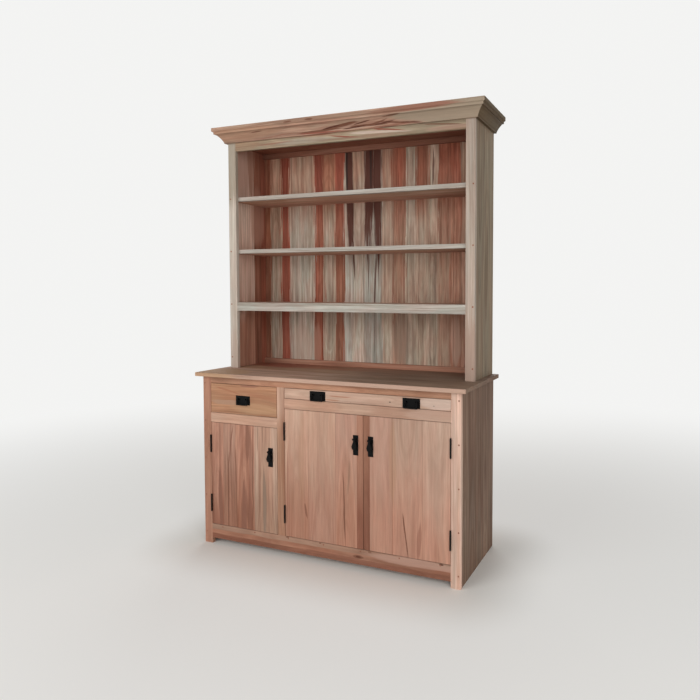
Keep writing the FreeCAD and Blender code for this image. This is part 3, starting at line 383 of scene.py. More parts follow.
    def plane(self, colour):
        """Close the wood with its planed face."""
        colour = self.mix(1.0, colour, self.mix(self.fibres, *FIBRE_TINTS), "MULTIPLY")
        height = self.math("MULTIPLY_ADD", self.rings, RING_RISE, self.fibres)
        height = self.math("MULTIPLY_ADD", self.hole, HOLE_RISE, height)
        inputs = {
            "Base Color": colour,
            "Roughness": self.ease(self.rings, *WOOD_ROUGHNESS),
            "Specular IOR Level": WOOD_GLOSS,
        }
        return self.surface(inputs, height, WOOD_BUMP_DEPTH, WOOD_BUMP_STRENGTH)


def wood(
    name, grain, across, boards, end, marks=(), wander=0.0, glued=True, turn=(0.0, 1.0),
    contrast=0.9, streaks=0.35, mottle=0.25, hearts=HEART.scales[0], far=None,
):
    """One wood: wander loosens the boards' edges, and turn is the stretch where feet turn to heads.

    far is a tone for the face beyond a place through the wood, on its lower side, which has no marks.
    """
    timber = Timber(name, grain, across, boards, end)
    colour = timber.lay_boards(wander, turn)
    if far:
        tone, place = far
        beyond = timber.math("LESS_THAN", timber.through, place)
        colour = timber.mix(beyond, colour, TONES[tone])
    timber.grow()
    colour = timber.shade(colour, contrast, streaks, mottle, hearts)
    colour = timber.infest(colour)
    plain = colour
    for mark in marks:
        colour = timber.streak(colour, mark)
    if far:
        colour = timber.mix(beyond, colour, plain)
    if glued and len(boards) > 1:
        colour = timber.glue(colour)
    return timber.plane(colour)


IRON_DENTS = Figure((260.0, 260.0, 260.0), 2.0, 0.5)
IRON_GRIT = Figure((1400.0, 1400.0, 1400.0), 2.0, 0.5)
IRON_WEAR = (0.45, 0.75)
IRON_ROUGHNESS = (0.3, 0.7, 0.55, 0.75)
IRON_GLOSS = 0.1
IRON_BUMP_DEPTH = 0.0005
IRON_BUMP_STRENGTH = 0.3


def iron(name, colour, worn):
    """Matt black iron: a hammered, slightly uneven coat that is a little worn."""
    g = Graph(name)
    axes = g.axes().values()
    dents = g.figure(axes, IRON_DENTS)
    inputs = {
        "Base Color": g.mix(g.ease(dents, *IRON_WEAR), colour, worn),
        "Roughness": g.ease(g.figure(axes, IRON_GRIT), *IRON_ROUGHNESS),
        "Specular IOR Level": IRON_GLOSS,
    }
    return g.surface(inputs, dents, IRON_BUMP_DEPTH, IRON_BUMP_STRENGTH)


def dress(material, *names):
    """Give CAD nodes one material."""
    for name in names:
        mesh = NODES[name].data
        mesh.materials.clear()
        mesh.materials.append(material)


ARRIS_WIDTH = 0.0012
ARRIS_SEGMENTS = 2
ARRIS_ANGLE = math.radians(35)
WELD_REACH = 0.00002


def soften(*names):
    """Ease the arrises of CAD nodes, as a plane leaves them."""
    for name in names:
        piece = NODES[name]
        weld = piece.modifiers.new("weld", "WELD")
        weld.merge_threshold = WELD_REACH
        bevel = piece.modifiers.new("arris", "BEVEL")
        bevel.width = ARRIS_WIDTH
        bevel.segments = ARRIS_SEGMENTS
        bevel.limit_method = "ANGLE"
        bevel.angle_limit = ARRIS_ANGLE


def even_boards(node, count, tones, heart, stain):
    """Boards of one width across a node, their tones in turn, and where the last one ends."""
    (low, _, _), (high, _, _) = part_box(node)
    pitch = (high - low) / count
    boards = []
    for number in range(count):
        boards.append(Board(low + number * pitch, tones[number % len(tones)], heart, stain))
    return boards, high


# The base.
dress(
    wood(
        "base_stile_wood", "z", "x",
        [
            Board(-0.73, "rose", 0.3, 0.1),
            # The middle stile's board turns to a darker foot towards the floor: painted shade, as the light
            # falls more on the top of the base.
            Board(-0.67, "cream", 0.15, 0.1, "fawn"),
            Board(-0.2, "pale", 0.1, 0.05),
        ],
        end=0.73, glued=False, turn=(0.6, 0.8),
    ),
    "base_left_stile", "base_middle_stile", "base_right_stile",
)
dress(
    wood(
        "base_bottom_rail_wood", "x", "z",
        # The lowest board, cocoa, is painted shade along the rail's lower edge; the two above are the
        # wood's own tones.
        [Board(0.02, "cocoa", 0.1, 0.2), Board(0.057, "rose", 0.2, 0.12), Board(0.079, "dun", 0.1, 0.1)],
        end=0.11, wander=0.012, glued=False,
        marks=[
            Mark(0.085, 0.5, 0.02, 0.26, 0.0, "blush", 0.7),
            Mark(0.066, 0.203, 0.011, 0.03, 0.0, "walnut", 0.75),
            Mark(0.066, 0.203, 0.005, 0.014, 0.0, "dark", 0.7),
            Mark(0.1, -0.202, 0.004, 0.012, 0.0, "walnut", 0.8),
            Mark(0.1, -0.01, 0.003, 0.008, 0.0, "walnut", 0.8),
            Mark(0.1, 0.265, 0.003, 0.01, 0.0, "walnut", 0.8),
            Mark(0.1, 0.632, 0.005, 0.012, 0.0, "dark", 0.8),
        ],
    ),
    "base_bottom_rail",
)
dress(
    wood(
        "base_rail_wood", "x", "z",
        [
            Board(0.64, "cream", 0.0, 0.1),
            Board(0.72, "cream", 0.15, 0.2),
            Board(0.85, "fawn", 0.3, 0.3),
        ],
        end=0.9, glued=False,
        marks=[Mark(0.78, 0.6, 0.03, 0.15, 0.0, "linen", 0.5)],
    ),
    "base_top_rail", "base_left_drawer_rail", "base_wide_drawer_rail",
)
# The left door's boards turn to darker feet towards the floor: painted shade, as the light falls more on
# the doors' tops.
dress(
    wood(
        "left_door_wood", "z", "x",
        [
            Board(-0.677, "pink", 0.2, 0.3, "brick"),
            Board(-0.6, "blush", 0.15, 0.15, "rose"),
            Board(-0.523, "pink", 0.25, 0.4, "clay"),
            Board(-0.403, "linen", 0.1, 0.15, "dun"),
        ],
        end=-0.26, turn=(0.1, 0.65), streaks=0.75, hearts=90.0,
        marks=[
            Mark(-0.619, 0.19, 0.011, 0.25, -0.03, "cocoa", 0.9),
            Mark(-0.571, 0.27, 0.005, 0.22, 0.02, "walnut", 0.7),
            Mark(-0.55, 0.54, 0.0045, 0.12, 0.12, "cocoa", 0.8),
            Mark(-0.517, 0.33, 0.005, 0.26, 0.0, "walnut", 0.6),
            Mark(-0.468, 0.14, 0.02, 0.26, 0.03, "cocoa", 0.9),
            Mark(-0.445, 0.58, 0.013, 0.12, 0.0, "cocoa", 0.75),
            Mark(-0.425, 0.36, 0.01, 0.36, 0.0, "cocoa", 0.5),
            Mark(-0.411, 0.38, 0.0045, 0.34, 0.0, "walnut", 0.8),
            Mark(-0.342, 0.24, 0.013, 0.18, 0.0, "slate", 0.8),
            Mark(-0.38, 0.59, 0.003, 0.07, 0.0, "umber", 0.8),
            Mark(-0.35, 0.615, 0.003, 0.05, 0.0, "umber", 0.7),
        ],
    ),
    "left_door_panel",
)
# The pair's boards turn to darker feet towards the floor: painted shade, as the light falls more on the
# doors' tops.
dress(
    wood(
        "pair_door_wood", "z", "x",
        [
            Board(-0.214, "cream", 0.15, 0.15, "rose"),
            Board(-0.075, "cream", 0.05, 0.05, "pink"),
            Board(0.078, "blush", 0.1, 0.1, "shell"),
            Board(0.196, "shell", 0.1, 0.1, "cocoa"),
            Board(0.2315, "clay", 0.1, 0.1, "cocoa"),
            Board(0.264, "blush", 0.05, 0.05, "pink"),
            Board(0.385, "ash", 0.05, 0.05, "pink"),
            Board(0.538, "linen", 0.05, 0.05, "pink"),
        ],
        end=0.678, turn=(0.15, 0.75), contrast=0.6, streaks=0.22,
        marks=[
            Mark(-0.115, 0.52, 0.018, 0.25, 0.0, "tan", 0.3),
            Mark(0.126, 0.28, 0.004, 0.2, -0.04, "walnut", 0.8),
            Mark(0.15, 0.44, 0.006, 0.09, 0.09, "umber", 0.5),
            Mark(-0.093, 0.25, 0.006, 0.04, -0.2, "walnut", 0.6),
            Mark(-0.2, 0.35, 0.005, 0.22, 0.02, "brick", 0.6),
            Mark(0.451, 0.21, 0.0035, 0.11, -0.14, "walnut", 0.9),
            Mark(0.522, 0.19, 0.012, 0.09, 0.05, "brick", 0.65),
            Mark(0.388, 0.55, 0.018, 0.2, 0.0, "tan", 0.45),
        ],
    ),
    "centre_door_panel", "right_door_panel",
)
dress(
    wood(
        "left_front_wood", "x", "z",
        [Board(0.7, "tan", 0.15, 0.2)],
        end=0.87,
        marks=[
            Mark(0.74, -0.4, 0.03, 0.16, 0.0, "honey", 0.5),
            Mark(0.823, -0.565, 0.006, 0.08, -0.22, "orange", 0.8),
            Mark(0.8, -0.345, 0.01, 0.11, -0.14, "orange", 0.45),
            Mark(0.853, -0.43, 0.006, 0.06, 0.0, "brick", 0.8),
            Mark(0.76, -0.56, 0.014, 0.12, 0.0, "straw", 0.6),
        ],
    ),
    "left_drawer_front",
)
dress(
    wood(
        "wide_front_wood", "x", "z",
        [Board(0.8, "linen", 0.1, 0.25)],
        end=0.87,
        marks=[
            Mark(0.826, 0.373, 0.0025, 0.005, 0.0, "black", 0.9),
            Mark(0.822, 0.594, 0.0025, 0.005, 0.0, "black", 0.9),
            Mark(0.818, 0.06, 0.004, 0.05, 0.0, "orange", 0.8),
            Mark(0.838, 0.1, 0.003, 0.06, -0.02, "orange", 0.8),
            Mark(0.835, 0.62, 0.03, 0.1, 0.0, "petal", 0.4),
        ],
    ),
    "wide_drawer_front",
)
# The counter turns from lighter feet at its left end to darker heads towards the right, and darkens towards
# the back: partly the wood's own tones, partly painted shade and reflection from the hutch that stands on
# it.
dress(
    wood(
        "counter_wood", "x", "y",
        [
            Board(-0.27, "slate", 0.1, 0.1, "linen"),
            Board(-0.15, "slate", 0.15, 0.2, "linen"),
            Board(-0.03, "smoke", 0.25, 0.3, "straw"),
            Board(0.09, "smoke", 0.3, 0.3, "clay"),
        ],
        end=0.27, glued=False, turn=(-0.3, 0.4),
        marks=[
            Mark(-0.2, -0.66, 0.12, 0.2, 0.0, "honey", 0.7),
            # Painted shade and reflection: a red-brown patch at the back of the left end, inside the hutch
            # whose red inside shades the counter.
            Mark(0.18, -0.5, 0.12, 0.2, 0.0, "wine", 0.6),
            # A painted highlight: a pale line along the front edge, where the light catches its arris.
            Mark(-0.275, 0.3, 0.02, 0.9, 0.0, "cream", 0.85),
        ],
    ),
    "counter_top",
)
dress(
    wood(
        "base_side_wood", "z", "y",
        [
            Board(-0.24, "smoke", 0.2, 0.4),
            Board(-0.12, "smoke", 0.15, 0.5),
            Board(-0.02, "smoke", 0.25, 0.6),
            Board(0.09, "smoke", 0.15, 0.5),
            Board(0.18, "smoke", 0.2, 0.4),
        ],
        end=0.27, contrast=1.0, streaks=1.0,
    ),
    "base_left_side", "base_right_side", "base_divider",
)
BACK_TONES = ("tan", "ash", "rose", "straw", "pink", "dun", "fawn", "blush")
back_boards, back_end = even_boards("base_back_boards", count=21, tones=BACK_TONES, heart=0.25, stain=0.2)
dress(
    wood("base_back_wood", "z", "x", back_boards, end=back_end, glued=False),
    "base_back_boards",
)
dress(
    wood(
        "inner_shelf_wood", "x", "y",
        [
            Board(-0.24, "cream", 0.1, 0.1),
            Board(-0.1, "blush", 0.2, 0.2),
            Board(0.02, "pink", 0.2, 0.2),
            Board(0.14, "cream", 0.1, 0.1),
        ],
        end=0.27,
    ),
    "base_bottom", "base_left_shelf", "base_right_shelf",
)

# The hutch.
dress(
    wood(
        "hutch_left_side_wood", "z", "y",
        [
            Board(-0.02, "petal", 0.1, 0.1, "pink"),
            Board(0.15, "brick", 0.5, 0.3),
            Board(0.21, "rust", 0.6, 0.4),
        ],
        end=0.27, turn=(1.15, 1.35), streaks=0.9,
        marks=[
            Mark(0.03, 2.15, 0.13, 0.3, 0.0, "blush", 0.8),
            Mark(0.13, 2.1, 0.03, 0.25, 0.0, "clay", 0.7),
            Mark(0.18, 1.77, 0.07, 0.18, 0.0, "pink", 0.65),
            Mark(0.05, 1.44, 0.12, 0.18, 0.0, "blush", 0.5),
        ],
        far=("lichen", -0.71),
    ),
    "hutch_left_side",
)
dress(
    wood(
        "hutch_right_side_wood", "z", "y",
        [
            Board(-0.02, "lichen", 0.05, 0.3),
            Board(0.1, "lichen", 0.1, 0.4),
            Board(0.19, "lichen", 0.05, 0.3),
        ],
        end=0.27, contrast=1.0, streaks=0.8,
    ),
    "hutch_right_side",
)
dress(
    wood(
        "hutch_stile_wood", "z", "x",
        [Board(-0.73, "white", 0.05, 0.1), Board(0.0, "stone", 0.05, 0.1)],
        end=0.73, glued=False,
        marks=[
            Mark(-0.7, 0.9, 0.06, 0.25, 0.0, "blush", 0.3),
            # A darker patch at the top of the left stile: painted shade under the crown.
            Mark(-0.7, 2.1, 0.06, 0.3, 0.0, "moss", 0.72),
            Mark(0.7, 0.95, 0.06, 0.3, 0.0, "ash", 0.8),
        ],
    ),
    "hutch_left_stile", "hutch_right_stile",
)
dress(
    wood(
        "shelf_wood", "x", "y",
        [Board(-0.04, "bone", 0.05, 0.1), Board(0.01, "cream", 0.2, 0.2), Board(0.13, "blush", 0.2, 0.2)],
        end=0.27,
    ),
    "hutch_upper_shelf", "hutch_middle_shelf", "hutch_lower_shelf",
)
# The hutch's top board is rose at the front and brick at the back: painted shade on the ceiling under the
# crown, darker towards the back.
dress(
    wood(
        "ceiling_shaded_wood", "x", "y",
        [Board(-0.04, "rose", 0.2, 0.2), Board(0.13, "brick", 0.3, 0.2)],
        end=0.27,
    ),
    "hutch_top_board",
)
dress(
    wood(
        "hutch_rail_wood", "x", "z",
        [Board(1.2, "bone", 0.05, 0.1), Board(2.0, "moss", 0.1, 0.2)],
        end=2.3, glued=False, streaks=0.8, mottle=0.5,
        marks=[
            Mark(2.135, -0.63, 0.03, 0.13, 0.0, "orange", 0.25),
            Mark(2.127, -0.2, 0.014, 0.2, 0.0, "stone", 0.3),
            Mark(2.135, 0.2, 0.008, 0.2, -0.05, "petal", 0.5),
            Mark(2.125, 0.6, 0.012, 0.14, 0.0, "blush", 0.4),
            Mark(2.15, -0.16, 0.004, 0.12, 0.0, "wine", 0.8),
            Mark(2.131, 0.01, 0.0045, 0.1, -0.12, "wine", 0.9),
            Mark(2.142, 0.27, 0.0045, 0.1, -0.12, "wine", 0.9),
            Mark(2.13, -0.42, 0.004, 0.12, 0.02, "brick", 0.6),
            Mark(2.12, 0.1, 0.006, 0.3, 0.0, "umber", 0.6),
            Mark(2.143, 0.55, 0.0035, 0.12, -0.09, "walnut", 0.85),
        ],
    ),
    "hutch_top_rail", "hutch_shelf_rail",
)
# The top back rail, above 2.0 m, is brick: painted shade that merges it with the shaded ceiling; the lower
# rails keep the rose tone.
dress(
    wood(
        "back_rail_wood", "x", "z",
        [Board(0.9, "rose", 0.5, 0.3), Board(2.0, "brick", 0.7, 0.3)],
        end=2.2, glued=False,
    ),
    "hutch_back_rails",
)
dress(
    wood(
        "crown_front_wood", "x", "z",
        [Board(2.14, "ash", 0.15, 0.3)],
        end=2.24, streaks=0.8, mottle=0.6,
        marks=[
            Mark(2.19, -0.6, 0.03, 0.25, 0.0, "tan", 0.4),
            Mark(2.19, 0.6, 0.05, 0.32, 0.0, "moss", 0.85),
            Mark(2.218, 0.43, 0.015, 0.24, 0.0, "brick", 0.95),
            Mark(2.215, 0.0, 0.014, 0.4, 0.0, "umber", 0.5),
            Mark(2.172, 0.06, 0.012, 0.24, 0.02, "brick", 0.45),
            Mark(2.17, 0.33, 0.01, 0.14, -0.08, "brick", 0.45),
            Mark(2.162, -0.12, 0.0055, 0.13, 0.03, "walnut", 0.9),
            Mark(2.175, 0.0, 0.006, 0.12, 0.1, "walnut", 0.9),
            Mark(2.181, 0.04, 0.004, 0.07, 0.12, "walnut", 0.85),
            Mark(2.168, 0.17, 0.006, 0.11, 0.0, "walnut", 0.9),
            Mark(2.177, 0.22, 0.0045, 0.06, 0.18, "walnut", 0.85),
            Mark(2.167, 0.34, 0.005, 0.12, -0.1, "walnut", 0.85),
            Mark(2.155, -0.1, 0.004, 0.16, 0.0, "wine", 0.8),
            Mark(2.158, 0.3, 0.004, 0.14, 0.02, "cocoa", 0.8),
            Mark(2.2, 0.0, 0.006, 0.16, 0.03, "rose", 0.6),
            Mark(2.172, -0.05, 0.003, 0.06, 0.1, "dark", 0.9),
            Mark(2.164, 0.08, 0.003, 0.07, 0.05, "dark", 0.9),
            Mark(2.182, 0.13, 0.003, 0.05, 0.14, "dark", 0.9),
            Mark(2.173, 0.26, 0.003, 0.06, 0.1, "dark", 0.85),
            Mark(2.163, 0.4, 0.0025, 0.06, -0.06, "dark", 0.8),
            Mark(2.192, -0.5, 0.0025, 0.04, 0.02, "walnut", 0.8),
            Mark(2.198, 0.3, 0.0025, 0.06, 0.05, "walnut", 0.8),
            Mark(2.16, -0.42, 0.004, 0.1, 0.04, "brick", 0.6),
            Mark(2.215, -0.285, 0.005, 0.025, 0.0, "walnut", 0.9),
            Mark(2.215, -0.155, 0.005, 0.025, 0.0, "walnut", 0.9),
        ],
    ),
    "crown_front",
)
# The right return is bark, much darker than the left's straw: painted shade, as it faces away from the
# light and down.
dress(
    wood("crown_right_shaded_wood", "y", "z", [Board(2.14, "bark", 0.1, 0.3)], end=2.24),
    "crown_right",
)
dress(
    wood("crown_left_wood", "y", "z", [Board(2.14, "straw", 0.3, 0.3)], end=2.24),
    "crown_left",
)
dress(
    wood(
        "hutch_back_wood", "z", "x",
        [
            Board(-0.71, "brick", 0.4, 0.2, "clay"),
            Board(-0.662, "linen", 0.15, 0.1, "silver"),
            Board(-0.583, "wine", 0.5, 0.3, "cherry"),
            Board(-0.531, "ash", 0.15, 0.2, "white"),
            Board(-0.358, "wine", 0.5, 0.3, "rust"),
            Board(-0.298, "clay", 0.25, 0.25, "silver"),
            Board(-0.217, "cherry", 0.4, 0.3, "brick"),
            Board(-0.158, "stone", 0.15, 0.3, "bone"),
            Board(-0.101, "ash", 0.2, 0.3, "white"),
            Board(-0.03, "stone", 0.1, 0.3, "bone"),
            Board(0.078, "ash", 0.15, 0.25, "silver"),
            Board(0.143, "rust", 0.4, 0.3, "ash"),
            Board(0.226, "silver", 0.2, 0.3),
            Board(0.284, "brick", 0.4, 0.3, "silver"),
            Board(0.356, "silver", 0.2, 0.4),
            Board(0.412, "rust", 0.3, 0.15, "ash"),
            Board(0.486, "rust", 0.2, 0.1, "pink"),
            Board(0.549, "ash", 0.1, 0.1, "blush"),
            Board(0.62, "umber", 0.3, 0.2, "clay"),
        ],
        end=0.71, wander=0.03, glued=False, turn=(1.5, 2.0),
        contrast=1.0, streaks=0.9, mottle=0.75, hearts=60.0,
        marks=[
            Mark(-0.34, 1.02, 0.03, 0.14, 0.0, "rose", 0.6),
            Mark(-0.445, 1.02, 0.08, 0.14, 0.0, "ash", 0.6),
            Mark(0.52, 1.08, 0.03, 0.14, 0.0, "cream", 0.5),
            Mark(-0.122, 1.96, 0.024, 0.5, -0.026, "dark", 0.97),
            Mark(-0.138, 2.1, 0.008, 0.22, 0.0, "black", 0.8),
            Mark(0.002, 2.1, 0.034, 0.62, 0.01, "dark", 0.97),
            Mark(0.054, 2.15, 0.03, 0.8, 0.0, "dark", 0.97),
            Mark(0.012, 2.1, 0.007, 0.24, 0.0, "black", 0.7),
            Mark(-0.095, 1.52, 0.005, 0.12, -0.03, "dark", 0.85),
            Mark(0.385, 2.0, 0.006, 0.12, 0.0, "dark", 0.8),
            Mark(-0.002, 1.45, 0.004, 0.14, 0.0, "dark", 0.8),
            Mark(0.04, 1.4, 0.007, 0.2, 0.03, "dark", 0.8),
            Mark(0.2, 1.08, 0.06, 0.15, 0.0, "slate", 0.6),
        ],
    ),
    "hutch_back_boards",
)

# The drawers' insides, the hidden strips, the plugs and the dowels.
dress(
    wood("drawer_box_wood", "y", "z", [Board(0.6, "cream", 0.1, 0.1)], end=0.9),
    "left_drawer_box", "wide_drawer_box", "drawer_runners", "counter_cleats",
)
dress(
    wood("drawer_bottom_wood", "x", "y", [Board(-0.24, "cream", 0.05, 0.1)], end=0.27),
    "left_drawer_bottom", "wide_drawer_bottom", "door_stops",
)
dress(
    wood("plug_wood", "y", "x", [Board(-0.75, "brick", 0.2, 0.0)], end=0.75),
    "frame_plugs",
)
dress(
    wood("dowel_wood", "z", "x", [Board(-0.75, "cream", 0.0, 0.0)], end=0.75),
    "hutch_dowels",
)

# The ironwork.
PULLS = (
    "left_drawer_pull_plate", "left_drawer_bail", "wide_drawer_pull_plates", "wide_drawer_left_bail",
    "wide_drawer_right_bail", "left_door_pull_plate", "left_door_pendant", "centre_door_pull_plate",
    "centre_door_pendant", "right_door_pull_plate", "right_door_pendant",
)
HINGES = (
    "left_door_hinge_leaves", "centre_door_hinge_leaves", "right_door_hinge_leaves", "frame_hinge_leaves",
    "hinge_pins",
)
BLACK_IRON = iron("black_iron", chart(7, 7, 7), chart(16, 15, 15))
HINGE_IRON = iron("hinge_iron", chart(13, 11, 10), chart(26, 22, 20))
dress(BLACK_IRON, *PULLS)
dress(HINGE_IRON, *HINGES)

ROUND_STOCK = ("frame_plugs", "hutch_dowels")
soften(*[name for name in NODES if name not in PULLS + HINGES + ROUND_STOCK])


# The screws that hold the ironwork: only their heads show.
HEAD_SIDES = 24
HEAD_PROFILE = ((1.0, -0.3), (1.0, 0.25), (0.86, 0.6), (0.6, 0.85), (0.3, 0.97))
HEAD_WELD_SHARE = 0.001
SLOT_SHARE = 0.13
SLOT_FLOOR = 0.3


def head_mesh(radius, height):
    """A domed screw head with a slot along X, facing Z."""
    head = bmesh.new()
    rings = []
    for reach, rise in HEAD_PROFILE:
        turns = [math.tau * step / HEAD_SIDES for step in range(HEAD_SIDES)]
        rim = [(radius * reach * math.cos(turn), radius * reach * math.sin(turn)) for turn in turns]
        rings.append([head.verts.new((x, y, height * rise)) for x, y in rim])
    for lower, upper in zip(rings, rings[1:]):
        for step in range(HEAD_SIDES):
            ahead = (step + 1) % HEAD_SIDES
            head.faces.new((lower[step], lower[ahead], upper[ahead], upper[step]))
    head.faces.new(rings[-1])
    head.faces.new(list(reversed(rings[0])))
    half_slot = radius * SLOT_SHARE
    for side in (-half_slot, half_slot):
        everything = head.verts[:] + head.edges[:] + head.faces[:]
        bmesh.ops.bisect_plane(head, geom=everything, plane_co=(0, side, 0), plane_no=(0, 1, 0))
    slot_floor = height * SLOT_FLOOR
    middles = {face: face.calc_center_median() for face in head.faces}
    slot = [face for face, middle in middles.items() if abs(middle.y) < half_slot and middle.z > slot_floor]
    sunk = bmesh.ops.extrude_face_region(head, geom=slot)["geom"]
    bmesh.ops.delete(head, geom=slot, context="FACES")
    for part in sunk:
        if isinstance(part, bmesh.types.BMVert):
            part.co.z = slot_floor
    bmesh.ops.remove_doubles(head, verts=head.verts[:], dist=radius * HEAD_WELD_SHARE)
    bmesh.ops.recalc_face_normals(head, faces=head.faces[:])
    mesh = bpy.data.meshes.new("screw_head")
    head.to_mesh(mesh)
    head.free()
    return mesh


def screws(name, body, material, head, places, out):
    """A set of heads that ride on one body and face out, their slots turned each its own way."""
    facing = Vector(out).to_track_quat("Z", "Y").to_matrix().to_4x4()
    heads = bmesh.new()
    for number, place in enumerate(places):
        single = bmesh.new()
        single.from_mesh(head)
        turn = Matrix.Rotation(math.tau * GOLDEN * (number + 1), 4, "Z")
        single.transform(Matrix.Translation(place) @ facing @ turn)
        placed = bpy.data.meshes.new("placed_head")
        single.to_mesh(placed)
        single.free()
        heads.from_mesh(placed)
        bpy.data.meshes.remove(placed)
    mesh = bpy.data.meshes.new(name)
    heads.to_mesh(mesh)
    heads.free()
    mesh.materials.append(material)
    piece = bpy.data.objects.new(name, mesh)
    bpy.context.scene.collection.objects.link(piece)
    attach(piece, body)


PULL_HEAD = head_mesh(radius=0.0025, height=0.0013)
LEAF_HEAD = head_mesh(radius=0.0032, height=0.00012)
PLATE_THICKNESS = 0.0025
DRAWER_SCREW_REACH = 0.0392
DOOR_SCREW_INSET = 0.007
LEAF_GAP = 0.0004
LEAF_WIDTH = 0.017
HINGE_HEIGHT = 0.088
LEAF_SCREW_PITCH = 0.029
FRONT = (0, -1, 0)


def pull_screws(body, places):
    screws(f"{body}_pull_screws", body, BLACK_IRON, PULL_HEAD, places, FRONT)


def drawer_screws(drawer, plate, bails):
    """A screw at each side of each bail."""
    low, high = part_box(plate)
    y = high[1] - PLATE_THICKNESS
    z = (low[2] + high[2]) / 2
    places = []
    for bail in bails:
        bail_low, bail_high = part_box(bail)
        middle = (bail_low[0] + bail_high[0]) / 2
        places += [(middle - DRAWER_SCREW_REACH, y, z), (middle + DRAWER_SCREW_REACH, y, z)]
    pull_screws(drawer, places)


def plate_screws(door):
    """A screw at the foot and at the head of a door's pull plate."""
    low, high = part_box(f"{door}_pull_plate")
    x = (low[0] + high[0]) / 2
    y = high[1] - PLATE_THICKNESS
    pull_screws(door, [(x, y, low[2] + DOOR_SCREW_INSET), (x, y, high[2] - DOOR_SCREW_INSET)])


def hinge_screws(door, opens_toward):
    """Three screws in each leaf of a door's two hinges, on the door's side and on the frame's."""
    low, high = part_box(f"{door}_hinge_leaves")
    x = (low[0] + high[0]) / 2
    y = high[1] - LEAF_WIDTH / 2
    hinges = (low[2] + HINGE_HEIGHT / 2, high[2] - HINGE_HEIGHT / 2)
    heights = [z + step * LEAF_SCREW_PITCH for z in hinges for step in (-1, 0, 1)]
    sets = {
        f"{door}_leaf_screws": (door, opens_toward),
        f"{door}_frame_leaf_screws": ("cabinet", -opens_toward),
    }
    for name, (body, side) in sets.items():
        places = [(x + side * LEAF_GAP / 2, y, z) for z in heights]
        screws(name, body, HINGE_IRON, LEAF_HEAD, places, (-side, 0, 0))


drawer_screws("left_drawer", "left_drawer_pull_plate", ["left_drawer_bail"])
drawer_screws("wide_drawer", "wide_drawer_pull_plates", ["wide_drawer_left_bail", "wide_drawer_right_bail"])
DOORS = {"left_door": 1, "centre_door": 1, "right_door": -1}
for door, opens_toward in DOORS.items():
    plate_screws(door)
    hinge_screws(door, opens_toward)
for pattern in (PULL_HEAD, LEAF_HEAD):
    bpy.data.meshes.remove(pattern)


# The floor and the light. Away from the base the floor brightens into the backdrop: by a first share close
# by and by the rest further off, each over a stretch in metres.
BACKDROP = (0.9, 0.9, 0.89, 1.0)
FLOOR_PAINT = chart(238, 235, 229)
FLOOR_REACH = 40
NEAR_SHARE = 0.4
NEAR_FADE = (0.0, 0.4)
FAR_FADE = (0.4, 4.4)
SKY_LEVEL = 0.28
LAMP_TARGET = (0.0, 0.0, 1.1)


def seen_directly(graph):
    """1 where a camera, glossy or transmission ray meets the backdrop, and 0 for the light it gives."""
    rays = graph.add("ShaderNodeLightPath").outputs
    seen = graph.math("MAXIMUM", rays["Is Camera Ray"], rays["Is Glossy Ray"])
    return graph.math("MAXIMUM", seen, rays["Is Transmission Ray"])


def pale_floor():
    """A matt pale floor that keeps the cupboard's shadow and brightens into the backdrop away from it."""
    g = Graph("pale_floor")
    axes = g.axes()
    past = []
    for letter, low in zip("xy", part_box("base_left_stile")[0]):
        past.append(g.math("MAXIMUM", g.math("ADD", g.math("ABSOLUTE", axes[letter]), low), 0.0))
    gap = g.hypot(*past)
    near = g.ease(gap, *NEAR_FADE, 0.0, NEAR_SHARE)
    away = g.math("ADD", near, g.ease(gap, *FAR_FADE, 0.0, 1.0 - NEAR_SHARE))
    paint = g.add("ShaderNodeBsdfDiffuse", {"Color": FLOOR_PAINT}).outputs[0]
    glow = g.add("ShaderNodeEmission", {"Color": BACKDROP, "Strength": 1.0}).outputs[0]
    share = g.math("MULTIPLY", seen_directly(g), away)
    blend = g.add("ShaderNodeMixShader", {0: share, 1: paint, 2: glow}).outputs[0]
    g.add("ShaderNodeOutputMaterial", {"Surface": blend})
    return g.material


def lay_floor():
    """A flat floor that reaches past every view."""
    mesh = bpy.data.meshes.new("floor")
    corners = [(-FLOOR_REACH, -FLOOR_REACH, 0), (FLOOR_REACH, -FLOOR_REACH, 0)]
    corners += [(FLOOR_REACH, FLOOR_REACH, 0), (-FLOOR_REACH, FLOOR_REACH, 0)]
    mesh.from_pydata(corners, [], [(0, 1, 2, 3)])
    mesh.materials.append(pale_floor())
    floor = bpy.data.objects.new("floor", mesh)
    bpy.context.scene.collection.objects.link(floor)


class Sky(Graph):
    """A world's nodes."""

    def __init__(self, name):
        self.world = bpy.data.worlds.new(name)
        self.world.use_nodes = True
        self.tree = self.world.node_tree
        self.tree.nodes.clear()


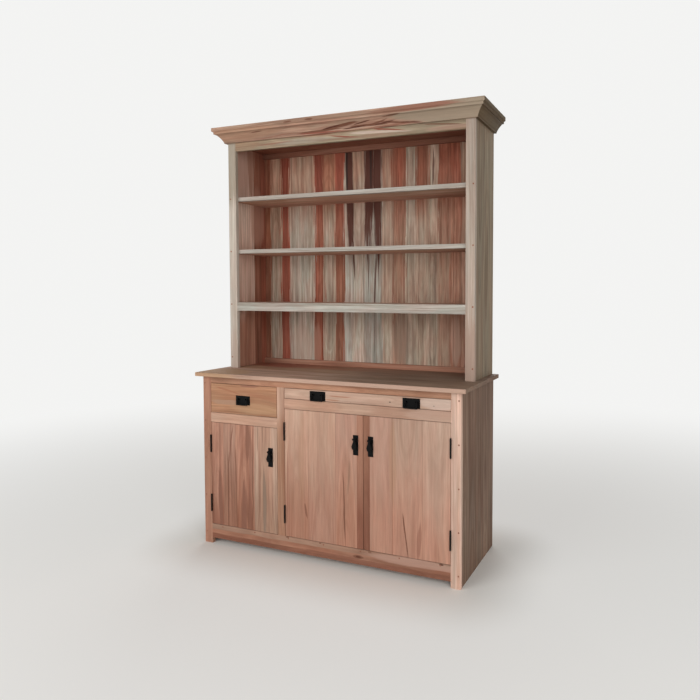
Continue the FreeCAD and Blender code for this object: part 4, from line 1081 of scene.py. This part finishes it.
def studio():
    """An even sky that lights at one level and is seen as the backdrop."""
    g = Sky("studio")
    light = g.add("ShaderNodeBackground", {"Color": WHITE, "Strength": SKY_LEVEL}).outputs[0]
    backdrop = g.add("ShaderNodeBackground", {"Color": BACKDROP, "Strength": 1.0}).outputs[0]
    blend = g.add("ShaderNodeMixShader", {0: seen_directly(g), 1: light, 2: backdrop}).outputs[0]
    g.add("ShaderNodeOutputWorld", {"Surface": blend})
    return g.world


def lamp(name, place, size, power):
    """A square soft box that faces the cupboard's middle."""
    light = bpy.data.lights.new(name, "AREA")
    light.shape = "SQUARE"
    light.size = size
    light.energy = power
    holder = bpy.data.objects.new(name, light)
    bpy.context.scene.collection.objects.link(holder)
    holder.location = place
    holder.rotation_euler = (Vector(LAMP_TARGET) - Vector(place)).to_track_quat("-Z", "Y").to_euler()


lay_floor()
bpy.context.scene.world = studio()
lamp("key_box", place=(-2.2, -4.5, 2.2), size=3.6, power=118.0)
lamp("fill_box", place=(3.4, -3.6, 2.0), size=3.0, power=100.0)
lamp("back_box", place=(-1.5, 4.6, 2.4), size=3.6, power=90.0)


# The camera, at the photograph's viewing angle. Angles are in radians, the lens and sensor in millimetres.
CAMERA_PLACE = (1.5905, -2.6758, 1.3376)
CAMERA_YAW = 0.3585
CAMERA_PITCH = 0.0424
CAMERA_ROLL = 0.0033
CAMERA_LENS = 30.205
CAMERA_SENSOR = 36.0
CAMERA_SHIFT = (-0.1445, -0.0464)


def set_camera():
    """A camera that its yaw turns left from looking along Y, and its pitch tips down."""
    data = bpy.data.cameras.new("camera")
    data.sensor_fit = "HORIZONTAL"
    data.sensor_width = CAMERA_SENSOR
    data.lens = CAMERA_LENS
    data.shift_x, data.shift_y = CAMERA_SHIFT
    camera = bpy.data.objects.new("camera", data)
    bpy.context.scene.collection.objects.link(camera)
    yaw = Matrix.Rotation(CAMERA_YAW, 4, "Z")
    pitch = Matrix.Rotation(math.pi / 2 - CAMERA_PITCH, 4, "X")
    roll = Matrix.Rotation(CAMERA_ROLL, 4, "Z")
    camera.matrix_world = Matrix.Translation(CAMERA_PLACE) @ yaw @ pitch @ roll
    bpy.context.scene.camera = camera


set_camera()

bpy.context.scene.view_settings.view_transform = "Standard"
